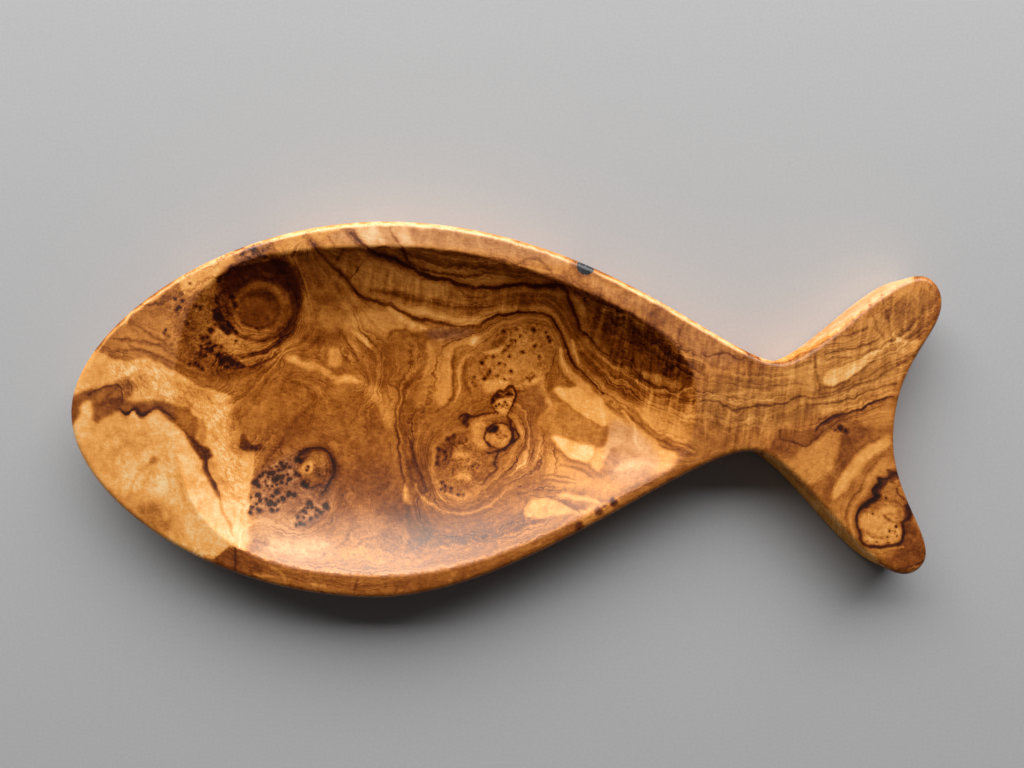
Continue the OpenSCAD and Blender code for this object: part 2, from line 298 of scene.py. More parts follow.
# Patches of one tone, painted one over the other: tone, softness of the edge, outline
PATCHES = {
    "sapwood of the nose": (0.83, 1.5, [
        (50, 345), (97, 350), (105, 355), (113, 359), (121, 361), (130, 360), (137, 357), (148, 358),
        (158, 362), (168, 368), (180, 375), (190, 381), (203, 387), (220, 392), (238, 400), (250, 412),
        (256, 440), (252, 475), (250, 500), (249, 530), (248, 556), (232, 546), (222, 553), (211, 562),
        (150, 550), (50, 450)]),
    "light of the upper left rim": (0.55, 8, [
        (98, 347), (118, 330), (150, 318), (178, 330), (176, 356), (150, 352), (120, 356)]),
    # Dimmer sapwood at the lower nose, with painted shade toward its lower edge
    "dimmer wood and painted shade of the lower nose": (0.7, 8, [
        (108, 484), (135, 497), (165, 500), (180, 512), (186, 540), (165, 540), (130, 520), (104, 496)]),
    # Painted shade along the lower left edge of the nose, which faces away from the light
    "painted shade on the lower edge of the nose": (0.58, 4, [
        (92, 474), (112, 494), (140, 516), (170, 536), (166, 546), (130, 526), (100, 500), (86, 478)]),
    # Painted shade on the hollow's wall just under the back rim
    "painted shade under the rim": (0.33, 4, [
        (300, 255), (350, 251), (400, 250), (460, 254), (520, 267), (575, 286), (578, 298), (520, 280),
        (460, 267), (400, 260), (350, 260), (300, 264)]),
    "orange mottle": (0.64, 5, [(176, 382), (195, 386), (215, 393), (210, 403), (190, 402), (178, 395)]),
    "pale middle of the nose": (0.86, 12, [
        (120, 450), (150, 440), (178, 450), (182, 480), (165, 500), (140, 490), (122, 470)]),
    "gold of the nose": (0.74, 10, [
        (80, 430), (110, 422), (150, 424), (172, 436), (150, 446), (118, 452), (112, 480), (95, 470)]),
    "veil at the right of the sapwood": (0.57, 7, [
        (227, 422), (240, 404), (262, 410), (266, 450), (238, 456), (230, 446), (226, 434)]),
    "brown along the crack": (0.38, 3, [
        (116, 396), (126, 400), (136, 402), (146, 401), (158, 400), (170, 403), (180, 406), (180, 413),
        (168, 413), (160, 409), (152, 410), (146, 416), (140, 417), (136, 411), (131, 411), (126, 414),
        (116, 412)]),
    "dim below the crack": (0.68, 5, [
        (98, 425), (112, 416), (126, 416), (138, 420), (136, 428), (112, 431)]),
    "left stain": (0.44, 3, [
        (70, 426), (71, 408), (76, 400), (82, 396), (90, 392), (98, 388), (106, 385), (114, 382),
        (119, 382), (122, 387), (120, 393), (123, 398), (122, 404), (128, 413), (124, 411), (119, 413),
        (114, 412), (110, 415), (106, 415), (103, 419), (100, 423), (96, 424), (93, 420), (91, 415),
        (94, 409), (92, 404), (90, 400), (84, 403), (80, 409), (78, 418)]),
    "left end of the left stain": (0.33, 3, [
        (64, 402), (74, 394), (84, 391), (93, 389), (91, 397), (83, 400), (78, 408), (75, 420), (70, 434),
        (62, 430)]),
    "deep of the left stain": (0.36, 5, [
        (94, 404), (100, 400), (108, 398), (116, 396), (122, 402), (122, 411), (112, 413), (104, 417),
        (98, 421), (94, 417)]),
    "light in the left stain": (0.52, 4, [
        (99, 394), (108, 390), (115, 389), (116, 395), (107, 399), (99, 401)]),
    "smear beside the left stain": (0.45, 4, [
        (121, 380), (128, 378), (134, 381), (136, 388), (131, 396), (124, 402), (122, 392)]),
    "right stain": (0.41, 2, [
        (160, 409), (170, 408), (180, 407), (191, 407), (191, 413), (197, 417), (202, 421), (203, 428),
        (199, 433), (195, 438), (200, 442), (206, 447), (211, 452), (213, 456), (208, 460), (207, 466),
        (210, 475), (214, 484), (219, 492), (222, 501), (217, 497), (212, 488), (208, 480), (204, 469),
        (200, 458), (195, 449), (188, 442), (185, 434), (178, 427), (170, 421), (164, 415)]),
    "deep of the right stain": (0.26, 2, [
        (186, 436), (192, 439), (199, 442), (206, 448), (212, 455), (207, 460), (207, 467), (211, 478),
        (217, 489), (213, 488), (207, 478), (203, 466), (199, 455), (193, 447), (187, 441)]),
    "amber of the right stain": (0.6, 3, [
        (198, 418), (206, 420), (208, 432), (206, 444), (199, 444), (197, 432)]),
    "light of the right stain": (0.46, 4, [
        (172, 411), (184, 411), (190, 416), (190, 424), (182, 424), (174, 418)]),
    "wedge of the crack": (0.34, 1.5, [
        (136, 410), (140, 412), (147, 412), (144, 417), (140, 418.5), (137, 416)]),
    "spot above the right stain": (0.6, 3, [(176, 397), (183, 395), (188, 400), (182, 404), (176, 402)]),
    "dim spot in the nose": (0.56, 2.5, [(149, 459), (155, 456), (160, 460), (156, 464), (150, 463)]),
    "lower smudge of the nose": (0.52, 5, [
        (138, 506), (150, 502), (160, 506), (164, 514), (172, 524), (170, 534), (160, 530), (150, 520),
        (140, 514)]),
    "pale wedge of the rim": (0.78, 1.5, [
        (180, 286), (183, 295), (190, 297), (199, 297), (206, 290), (215, 281), (224, 275), (236, 269),
        (237, 261), (231, 254), (225, 246), (200, 256), (176, 270)]),
    "burl in the rim": (0.5, 2, [
        (232, 258), (236, 252), (247, 247), (258, 243), (268, 242), (275, 247), (274, 257), (262, 262),
        (250, 267), (240, 271), (236, 267)]),
    "top of the rim": (0.68, 3, [
        (275, 246), (272, 236), (300, 226), (400, 218), (500, 228), (570, 255), (570, 270), (555, 275),
        (520, 262), (480, 253), (400, 248), (330, 250), (300, 253), (280, 258)]),
    "dim of the rim": (0.6, 6, [
        (422, 226), (470, 230), (520, 243), (560, 258), (566, 276), (520, 264), (470, 250), (425, 246)]),
    "vein head in the rim": (0.5, 2.5, [
        (303, 234), (309, 234), (322, 244), (328, 250), (313, 251), (307, 244)]),
    "first band of the rim": (0.46, 2, [
        (341, 226), (351, 226), (356, 238), (367, 247), (358, 247), (349, 238), (343, 234)]),
    "second band of the rim": (0.62, 3, [
        (378, 225), (389, 225), (393, 236), (403, 246), (392, 246), (384, 240)]),
    "second pale field of the rim": (0.82, 3, [
        (392, 227), (407, 226), (412, 238), (416, 246), (404, 246), (397, 239)]),
    "third band of the rim": (0.58, 3, [(408, 225), (420, 225), (424, 238), (420, 243), (412, 240)]),
    "pale field of the rim": (0.9, 3, [
        (354, 227), (376, 225), (380, 236), (388, 246), (371, 246), (361, 238)]),
    "right of the rim": (0.52, 4, [
        (592, 272), (640, 298), (700, 330), (690, 340), (660, 330), (630, 310), (600, 292), (588, 282)]),
    "pale of the right rim": (0.68, 4, [
        (580, 280), (590, 276), (604, 281), (618, 289), (612, 297), (598, 291)]),
    "stain below the filler": (0.52, 2, [(566, 271), (573, 269), (577, 276), (574, 282), (567, 279)]),
    "mauve patch in the rim": (0.4, 4, [(648, 308), (660, 312), (664, 326), (654, 330), (644, 322)]),
    # Darker wood left of the knot, made darker still as painted shade in the far part of the hollow
    "ground left of the knot": (0.32, 7, [
        (186, 300), (200, 288), (215, 285), (216, 330), (240, 364), (262, 360), (280, 352), (272, 370),
        (240, 378), (215, 381), (195, 373), (181, 352), (181, 325)]),
    # The dark crescent of the knot, painted darker still for the shade under the rim
    "knot crescent": (0.1, 5, [
        (212, 282), (225, 268), (240, 261), (258, 256), (275, 256), (290, 260), (299, 270), (304, 283),
        (304, 297), (301, 312), (295, 326), (286, 339), (272, 349), (262, 353), (262, 346), (272, 337),
        (281, 325), (287, 312), (288, 298), (282, 288), (270, 283), (255, 282), (245, 288), (238, 296),
        (236, 306), (228, 310), (220, 305), (216, 297), (218, 290)]),
    "knot core": (0.23, 5, [
        (236, 303), (243, 292), (256, 285), (270, 287), (281, 296), (285, 309), (281, 322), (270, 331),
        (256, 332), (243, 326), (236, 316)]),
    "light ring of the knot": (0.29, 3, [
        (282, 290), (290, 300), (291, 313), (285, 326), (274, 335), (268, 333), (280, 322), (284, 310),
        (281, 298)]),
    "dark side of the knot": (0.16, 4, [
        (216, 296), (228, 300), (236, 308), (234, 318), (237, 330), (228, 334), (220, 332), (214, 325),
        (211, 312), (213, 303)]),
    "amber below the knot": (0.52, 3, [
        (213, 334), (219, 327), (226, 331), (232, 335), (240, 341), (248, 348), (253, 354), (245, 359),
        (236, 358), (228, 352), (222, 346), (215, 341)]),
    "grey brown beside the knot": (0.42, 8, [
        (304, 296), (325, 285), (345, 295), (350, 315), (345, 332), (328, 330), (312, 322), (305, 310)]),
    "dusk right of the knot": (0.37, 7, [
        (302, 260), (318, 258), (332, 272), (345, 284), (350, 296), (335, 302), (315, 302), (304, 285)]),
    "light beside the knot": (0.54, 5, [
        (318, 312), (330, 308), (342, 314), (338, 326), (326, 328), (318, 322)]),
    "wedge beside the knotlet": (0.32, 5, [
        (298, 340), (300, 322), (310, 322), (320, 330), (330, 331), (340, 329), (348, 334), (340, 340),
        (330, 343), (318, 346), (306, 344)]),
    "light round the knotlet": (0.54, 7, [(342, 334), (356, 338), (362, 360), (350, 372), (344, 352)]),
    "knotlet": (0.7, 3, [(328, 350), (336, 348), (342, 354), (343, 364), (336, 368), (328, 364)]),
    "wavy light": (0.68, 2, [
        (284, 357), (288, 354.5), (293, 355), (298, 357), (302, 361), (308, 362), (313, 361.5),
        (318, 363.5), (323, 366), (326, 369), (331, 372), (336, 376), (341, 377), (346, 374.5),
        (352, 374), (357, 377), (361, 382), (357, 385), (351, 383), (345, 384.5), (339, 387), (334, 385),
        (330, 380), (326, 376), (321, 372), (315, 370.5), (308, 370), (302, 367.5), (297, 363.5),
        (290, 361)]),
    "middle field": (0.39, 11, [
        (300, 392), (330, 386), (360, 390), (388, 396), (394, 440), (398, 480), (392, 502), (362, 500),
        (338, 486), (340, 456), (322, 440), (295, 441), (286, 430)]),
    "light under the wavy light": (0.51, 8, [(312, 382), (345, 386), (360, 392), (345, 402), (318, 396)]),
    "light left of the wavy light": (0.55, 6, [
        (262, 360), (276, 350), (290, 345), (297, 352), (284, 358), (270, 365)]),
    "brown field": (0.42, 9, [
        (230, 394), (240, 387), (255, 382), (275, 380), (295, 381), (308, 387), (314, 397), (311, 407),
        (300, 415), (290, 425), (282, 437), (275, 447), (265, 450), (256, 440), (247, 430), (240, 418),
        (234, 406)]),
    "light of the brown field": (0.53, 8, [
        (230, 402), (248, 396), (276, 400), (278, 412), (268, 430), (260, 442), (248, 430), (238, 416)]),
    "dark right of the brown field": (0.33, 6, [
        (290, 418), (302, 412), (298, 430), (290, 446), (276, 452), (282, 434)]),
    "blot of the brown field": (0.24, 1.5, [
        (241, 434), (245, 431), (247, 438), (250, 444), (256, 446), (259, 443), (266, 446), (266, 451),
        (258, 450), (248, 452), (241, 450), (240, 444)]),
    "lower burl": (0.36, 4, [
        (252, 478), (258, 470), (268, 462), (280, 455), (292, 452), (300, 446), (312, 444), (325, 447),
        (334, 456), (337, 470), (333, 484), (328, 496), (330, 508), (324, 520), (310, 527), (296, 529),
        (285, 520), (270, 516), (252, 516), (250, 500)]),
    "dark right of the lower burl": (0.3, 5, [
        (332, 458), (342, 454), (348, 480), (344, 504), (334, 506), (332, 482)]),
    "light foot of the lower burl": (0.47, 5, [
        (250, 493), (275, 488), (300, 490), (328, 497), (326, 512), (300, 517), (252, 511)]),
    "eye of the lower burl": (0.46, 3, [
        (300, 458), (307, 453), (318, 452), (327, 458), (330, 468), (327, 479), (318, 485), (307, 484),
        (300, 477), (297, 467)]),
    "upper lid of the eye": (0.24, 2, [
        (297, 456), (303, 449), (313, 447), (312, 455), (305, 462), (298, 463)]),
    "lower lid of the eye": (0.26, 2, [(300, 478), (307, 477), (313, 483), (309, 489), (302, 487)]),
    "iris of the eye": (0.3, 3, [(312, 468), (320, 466), (327, 470), (324, 478), (315, 479)]),
    "light of the eye": (0.72, 2, [
        (303, 464), (309, 461), (314, 466), (313, 472), (306, 474), (302, 470)]),
    "below the long vein": (0.64, 5, [
        (342, 322), (355, 313), (370, 309), (388, 309), (400, 317), (415, 325), (425, 329), (410, 331),
        (395, 331), (385, 337), (370, 333), (358, 326), (350, 331), (343, 329)]),
    "between the long veins": (0.52, 6, [
        (350, 268), (380, 262), (400, 270), (425, 282), (442, 288), (440, 298), (405, 298), (370, 290)]),
    "light between the long veins": (0.57, 6, [
        (385, 270), (402, 270), (430, 283), (450, 289), (448, 298), (415, 297), (395, 288)]),
    "cloud at the middle": (0.36, 6, [
        (365, 372), (375, 368), (388, 373), (395, 384), (385, 390), (370, 384)]),
    "dusk of the middle": (0.36, 8, [
        (362, 350), (380, 346), (396, 340), (410, 330), (420, 345), (416, 372), (408, 394), (392, 388),
        (372, 372)]),
    "mauve tongue": (0.41, 4, [
        (428, 329), (440, 326), (455, 329), (470, 329), (478, 331), (470, 335), (455, 338), (440, 341),
        (430, 339)]),
    "light column": (0.66, 4, [
        (446, 345), (455, 341), (466, 338), (480, 336), (482, 344), (470, 347), (458, 348), (452, 356),
        (452, 368), (454, 385), (450, 400), (442, 408), (435, 402), (432, 385), (436, 370), (442, 358)]),
    "light left of the column": (0.6, 6, [
        (424, 352), (440, 338), (450, 340), (440, 360), (436, 384), (428, 402), (418, 408), (414, 400),
        (424, 380)]),
    "spotted burl": (0.49, 5, [
        (470, 360), (490, 345), (505, 330), (525, 322), (543, 323), (553, 335), (556, 355), (545, 375),
        (530, 390), (510, 388), (490, 392), (472, 390), (466, 375)]),
    "light over the small bark knot": (0.72, 4, [
        (480, 382), (500, 378), (520, 373), (540, 370), (542, 380), (526, 386), (516, 389), (502, 392),
        (486, 394)]),
    "middle of the spotted burl": (0.55, 6, [
        (504, 346), (516, 338), (532, 338), (540, 350), (538, 370), (526, 384), (510, 384), (502, 366)]),
    "dim of the spotted burl": (0.4, 5, [
        (534, 336), (552, 338), (559, 352), (558, 368), (544, 372), (538, 356)]),
    "crown of dark wood": (0.37, 4, [
        (492, 336), (504, 326), (522, 318), (544, 318), (553, 328), (540, 333), (520, 331), (504, 340)]),
    "dusk between the veins": (0.25, 5, [
        (490, 297), (520, 292), (550, 292), (566, 298), (575, 318), (585, 338), (578, 346), (566, 334),
        (557, 312), (540, 305), (505, 307)]),
    "oval burl": (0.49, 4, [
        (437, 455), (445, 443), (458, 436), (470, 440), (478, 452), (481, 466), (477, 480), (465, 490),
        (450, 492), (440, 482), (435, 468)]),
    "dark side of the oval burl": (0.36, 3, [
        (433, 458), (436, 449), (441, 441), (448, 435), (456, 432), (466, 433), (464, 440), (456, 444),
        (450, 450), (446, 458), (446, 466), (441, 470), (436, 467)]),
    "small bark knot": (0.64, 2, [
        (490, 400), (493, 396), (498, 394), (503, 392), (507, 389), (511, 387), (515, 390), (517, 395),
        (514, 401), (512, 408), (508, 413), (502, 413), (497, 411), (493, 406)]),
    "dark of the small bark knot": (0.24, 1.5, [
        (490, 400), (494, 395), (499, 393), (504, 394), (508, 390), (512, 391), (512, 395), (506, 397),
        (500, 398), (495, 402), (492, 404)]),
    "bark eye": (0.64, 2, [
        (483, 439), (484, 433), (488, 426), (493, 423.5), (500, 423), (506, 424), (511, 429), (512, 436),
        (510, 443), (504, 448), (497, 449), (489, 445)]),
    "dark of the bark eye": (0.1, 2, [
        (486, 431), (488, 426), (492, 424), (497, 425), (499, 430), (495, 434), (489, 434)]),
    "smudge of the bark line": (0.28, 3, [
        (460, 416), (468, 415), (470, 420), (468, 427), (463, 430), (461, 423)]),
    "pale ground round the bark eye": (0.68, 3, [
        (475, 421), (486, 417), (487, 428), (482, 440), (490, 449), (480, 449), (473, 440), (471, 430)]),
    "mauve ground": (0.42, 6, [
        (516, 392), (530, 388), (548, 395), (552, 412), (540, 425), (528, 430), (518, 418)]),
    "first pale blaze": (0.8, 1.5, [
        (552, 388), (557, 387), (566, 389), (575, 387), (579, 384), (590, 392), (598, 400), (606, 408),
        (612, 414), (610, 424), (604, 426), (596, 424), (585, 417), (575, 410), (565, 402), (558, 396)]),
    "brown tongue": (0.56, 1.5, [
        (538, 416), (550, 407), (560, 401), (575, 411), (590, 421), (603, 428), (608, 430), (609, 444),
        (600, 446), (585, 445), (570, 441), (556, 434), (546, 430), (538, 425)]),
    "light below the second blaze": (0.68, 6, [
        (545, 452), (560, 455), (572, 464), (590, 468), (594, 480), (586, 490), (560, 490), (545, 482)]),
    "tip of the brown tongue": (0.5, 2, [
        (601, 428), (607, 429), (609, 437), (608, 445), (597, 446), (600, 440)]),
    "second pale blaze": (0.84, 1.5, [
        (550, 437), (556, 434), (565, 438), (575, 442), (588, 445), (597, 446), (594, 455), (589, 463),
        (580, 461), (570, 459), (560, 450), (555, 443)]),
    "fourth pale blaze": (0.69, 4, [
        (612, 416), (622, 414), (635, 424), (646, 434), (660, 442), (680, 452), (676, 464), (660, 472),
        (640, 482), (620, 490), (598, 498), (602, 480), (612, 450)]),
    "left of the fourth blaze": (0.58, 6, [
        (600, 448), (622, 446), (638, 456), (626, 472), (612, 484), (598, 494), (588, 484)]),
    "right of the fourth blaze": (0.76, 5, [
        (634, 428), (648, 438), (664, 446), (672, 456), (656, 462), (640, 452)]),
    "bright end of the fourth blaze": (0.8, 4, [
        (612, 469), (625, 461), (640, 459), (652, 461), (658, 450), (668, 449), (675, 456), (670, 467),
        (660, 472), (648, 467), (632, 467), (618, 473)]),
    "pink column": (0.5, 3, [
        (612, 448), (622, 450), (619, 460), (612, 470), (604, 479), (599, 472), (603, 460), (607, 452)]),
    "step below the tongue": (0.74, 2, [
        (597, 447), (606, 446), (612, 448), (606, 456), (601, 466), (597, 473), (590, 466), (594, 456)]),
    "orange edge of the column": (0.73, 2, [
        (609, 414), (618, 414), (626, 424), (628, 436), (622, 446), (612, 448), (606, 446), (609, 436),
        (608, 428), (606, 424)]),
    "end of the hollow": (0.64, 4, [
        (640, 405), (655, 408), (668, 412), (680, 420), (688, 408), (694, 410), (693, 425), (688, 440),
        (684, 446), (672, 440), (660, 432), (648, 424), (640, 416)]),
    "dim of the end": (0.36, 4, [(662, 395), (690, 393), (695, 404), (684, 411), (668, 408)]),
    "dusk of the end": (0.29, 6, [
        (578, 346), (592, 350), (610, 360), (632, 372), (654, 386), (664, 396), (650, 398), (636, 400),
        (620, 396), (604, 386), (590, 374), (580, 360)]),
    # Paler wood at the foot of the hollow, lightened further as painted sheen where the window shines on
    # it
    "paler wood and painted sheen at the foot of the hollow": (0.53, 12, [
        (236, 540), (250, 522), (290, 532), (340, 526), (380, 536), (420, 546), (460, 536), (500, 526),
        (560, 506), (610, 492), (650, 470), (640, 490), (580, 520), (500, 556), (400, 578), (300, 572),
        (250, 556)]),
    "dim of the foot": (0.4, 10, [
        (374, 528), (410, 524), (440, 518), (480, 518), (540, 510), (565, 512), (545, 528), (500, 548),
        (460, 562), (420, 562), (380, 556)]),
    "dim of the lower middle": (0.3, 10, [
        (368, 466), (392, 462), (400, 488), (412, 506), (440, 518), (430, 532), (398, 526), (374, 514)]),
    "dusk left of the oval burl": (0.36, 6, [
        (402, 462), (418, 456), (426, 476), (436, 492), (430, 501), (412, 496)]),
    "smudge": (0.27, 5, [(378, 504), (395, 500), (412, 506), (418, 516), (402, 520), (382, 514)]),
    "lower smudge": (0.32, 6, [(408, 512), (420, 518), (430, 532), (428, 546), (420, 542), (412, 528)]),
    "third pale blaze": (0.76, 1.5, [
        (524, 517), (525, 508), (531, 500), (542, 498), (555, 500), (565, 503), (576, 508), (590, 508),
        (604, 503), (596, 512), (580, 514), (565, 513), (550, 517), (536, 519)]),
    "edge of the right foot": (0.46, 5, [
        (470, 556), (500, 545), (540, 527), (572, 512), (578, 518), (545, 538), (505, 556), (475, 566)]),
    "pale of the left foot": (0.7, 10, [
        (245, 532), (280, 534), (325, 536), (330, 552), (300, 560), (262, 552)]),
    "light below the lower burl": (0.64, 6, [
        (238, 508), (256, 516), (268, 514), (286, 512), (296, 518), (302, 530), (288, 540), (248, 532)]),
    "grey smudge of the foot": (0.46, 5, [(245, 538), (258, 534), (270, 540), (266, 548), (252, 548)]),
    "second grey smudge of the foot": (0.54, 5, [
        (335, 520), (345, 517), (350, 525), (342, 531), (334, 528)]),
    "sheen of the nose wall": (0.9, 4, [
        (188, 494), (193, 507), (200, 518), (212, 530), (226, 541), (242, 549), (249, 546), (250, 520),
        (245, 500), (234, 496), (222, 502), (214, 494), (206, 488), (194, 488)]),
    # Dark wood on the hollow's wall under the shoulder, darkened further as painted shade
    "dark wood and painted shade under the shoulder": (0.25, 2.5, [
        (582, 288), (605, 299), (625, 309), (644, 320), (662, 332), (678, 348), (690, 366), (694, 382),
        (688, 387), (668, 378), (640, 370), (614, 357), (598, 340), (585, 312)]),
    "lower rim": (0.44, 1.5, [
        (228, 546), (243, 551), (283, 566), (326, 574), (369, 577), (413, 575.5), (456, 568),
        (497, 555.5), (538, 539), (577, 520.5), (590, 540), (540, 565), (480, 592), (400, 610),
        (320, 606), (256, 590), (205, 566), (222, 553)]),
    "red rim below the nose": (0.35, 1.5, [
        (228, 546), (243, 551), (264, 560), (260, 584), (232, 580), (205, 566), (222, 553)]),
    "amber of the heel": (0.62, 2, [
        (580, 514), (596, 507), (616, 496), (624, 500), (600, 518), (584, 528)]),
    "first dark block of the heel": (0.26, 1.5, [(574, 523), (580, 519), (584, 527), (577, 534)]),
    "second dark block of the heel": (0.3, 1.5, [(594, 508), (601, 505), (605, 513), (598, 518)]),
    "third dark block of the heel": (0.18, 1.5, [(608, 500), (614, 496), (619, 504), (612, 509)]),
    "shoulder": (0.5, 8, [
        (690, 330), (720, 342), (750, 358), (752, 372), (730, 376), (705, 372), (692, 355)]),
    "gold of the waist": (0.52, 10, [
        (738, 415), (780, 415), (786, 438), (764, 448), (742, 444), (732, 430)]),
    "light of the waist": (0.56, 6, [(722, 396), (780, 394), (784, 405), (724, 408)]),
    "ground of the tail": (0.6, 12, [
        (772, 366), (800, 358), (850, 322), (895, 294), (905, 320), (905, 362), (893, 395), (850, 408),
        (800, 400), (774, 396)]),
    "dark of the tail root": (0.42, 8, [
        (770, 412), (790, 406), (815, 406), (830, 410), (815, 426), (790, 428), (772, 424)]),
    "light of the notch": (0.62, 7, [
        (838, 404), (866, 394), (898, 386), (898, 404), (893, 424), (872, 428), (856, 420)]),
    "light of the tail": (0.66, 6, [(816, 400), (846, 394), (850, 408), (836, 416), (818, 416)]),
    "pale edge of the shoulder": (0.52, 4, [
        (664, 304), (700, 322), (740, 346), (748, 356), (738, 356), (712, 350), (690, 338), (672, 324)]),
    # Pale wood on the side of the upper lobe, lightened further as painted light where it faces the
    # window
    "side of the upper lobe": (0.84, 2, [
        (758, 361), (775, 363), (792, 358), (812, 347), (836, 332), (860, 314), (884, 298), (903, 287),
        (918, 282), (905, 262), (870, 276), (830, 302), (800, 330), (765, 348)]),
    "line of that side": (0.74, 1.5, [
        (790, 352), (812, 339), (838, 322), (864, 303), (888, 288), (886, 285), (862, 300), (836, 319),
        (810, 336), (788, 350)]),
    "brown of the upper lobe": (0.47, 6, [
        (890, 292), (915, 284), (940, 290), (938, 320), (925, 338), (900, 332), (888, 318)]),
    "tip of the upper lobe": (0.66, 5, [
        (894, 294), (906, 282), (926, 276), (932, 284), (918, 294), (904, 304)]),
    "blaze of the upper lobe": (0.86, 1.2, [
        (824, 374), (834, 370), (846, 366), (858, 360), (868, 354), (880, 348), (875, 358), (864, 368),
        (852, 377), (840, 382), (832, 386), (823, 386)]),
    "amber of the upper lobe": (0.7, 1.5, [
        (893, 334), (899, 338), (908, 342), (922, 338), (919, 346), (912, 354), (905, 356), (898, 352),
        (894, 343)]),
    "orange of the lower lobe": (0.64, 3, [
        (783, 440), (798, 446), (812, 444), (826, 432), (842, 434), (842, 450), (836, 465), (822, 480),
        (806, 486), (786, 468), (776, 455)]),
    "dim root of the lower lobe": (0.43, 5, [(768, 438), (784, 438), (802, 448), (796, 460), (780, 460)]),
    "band of the lower lobe": (0.38, 3, [
        (824, 484), (830, 474), (837, 458), (840, 444), (840, 430), (852, 430), (866, 428), (870, 430),
        (860, 442), (850, 456), (842, 470), (834, 480), (830, 490), (824, 494)]),
    "stripe of the lower lobe": (0.77, 3, [
        (830, 499), (832, 490), (842, 476), (852, 460), (862, 448), (880, 440), (890, 436), (892, 446),
        (880, 452), (866, 462), (856, 476), (846, 490), (836, 501)]),
    "ground of the lower lobe": (0.6, 5, [
        (840, 500), (852, 488), (866, 470), (884, 456), (894, 462), (892, 470), (876, 478), (870, 492),
        (856, 508), (852, 530), (860, 545), (850, 548), (836, 530), (826, 512)]),
    "side of the lower lobe": (0.75, 2, [
        (766, 450), (800, 484), (830, 514), (860, 544), (882, 562), (870, 568), (840, 544), (810, 512),
        (780, 480), (760, 458)]),
    "tip of the lower lobe": (0.32, 5, [
        (905, 520), (918, 524), (928, 550), (915, 572), (900, 574), (884, 566), (890, 552), (903, 545)]),
    "knot of the lower lobe": (0.5, 2, [
        (880, 480), (890, 478), (898, 476), (903, 488), (908, 500), (911, 510), (911, 518), (903, 521),
        (904, 540), (896, 544), (884, 546), (872, 548), (863, 543), (862, 534), (857, 527), (856, 518),
        (862, 508), (872, 500), (877, 494)]),
    "pale of the tail knot": (0.74, 3, [
        (862, 516), (872, 512), (882, 506), (892, 506), (898, 512), (896, 520), (901, 526), (902, 538),
        (892, 543), (876, 546), (865, 542), (866, 532), (860, 524)]),
    "upper bark of that knot": (0.2, 2, [
        (875, 476), (884, 478), (890, 474), (885, 468), (892, 469), (899, 473), (900, 479), (892, 480),
        (886, 486), (880, 492), (879, 499), (870, 506), (862, 511), (857, 516), (860, 507), (866, 502),
        (875, 498), (872, 489), (878, 485)]),
    "right bark of that knot": (0.16, 2, [
        (903, 506), (908, 502), (913, 512), (913, 520), (904, 520), (905, 513)]),
}

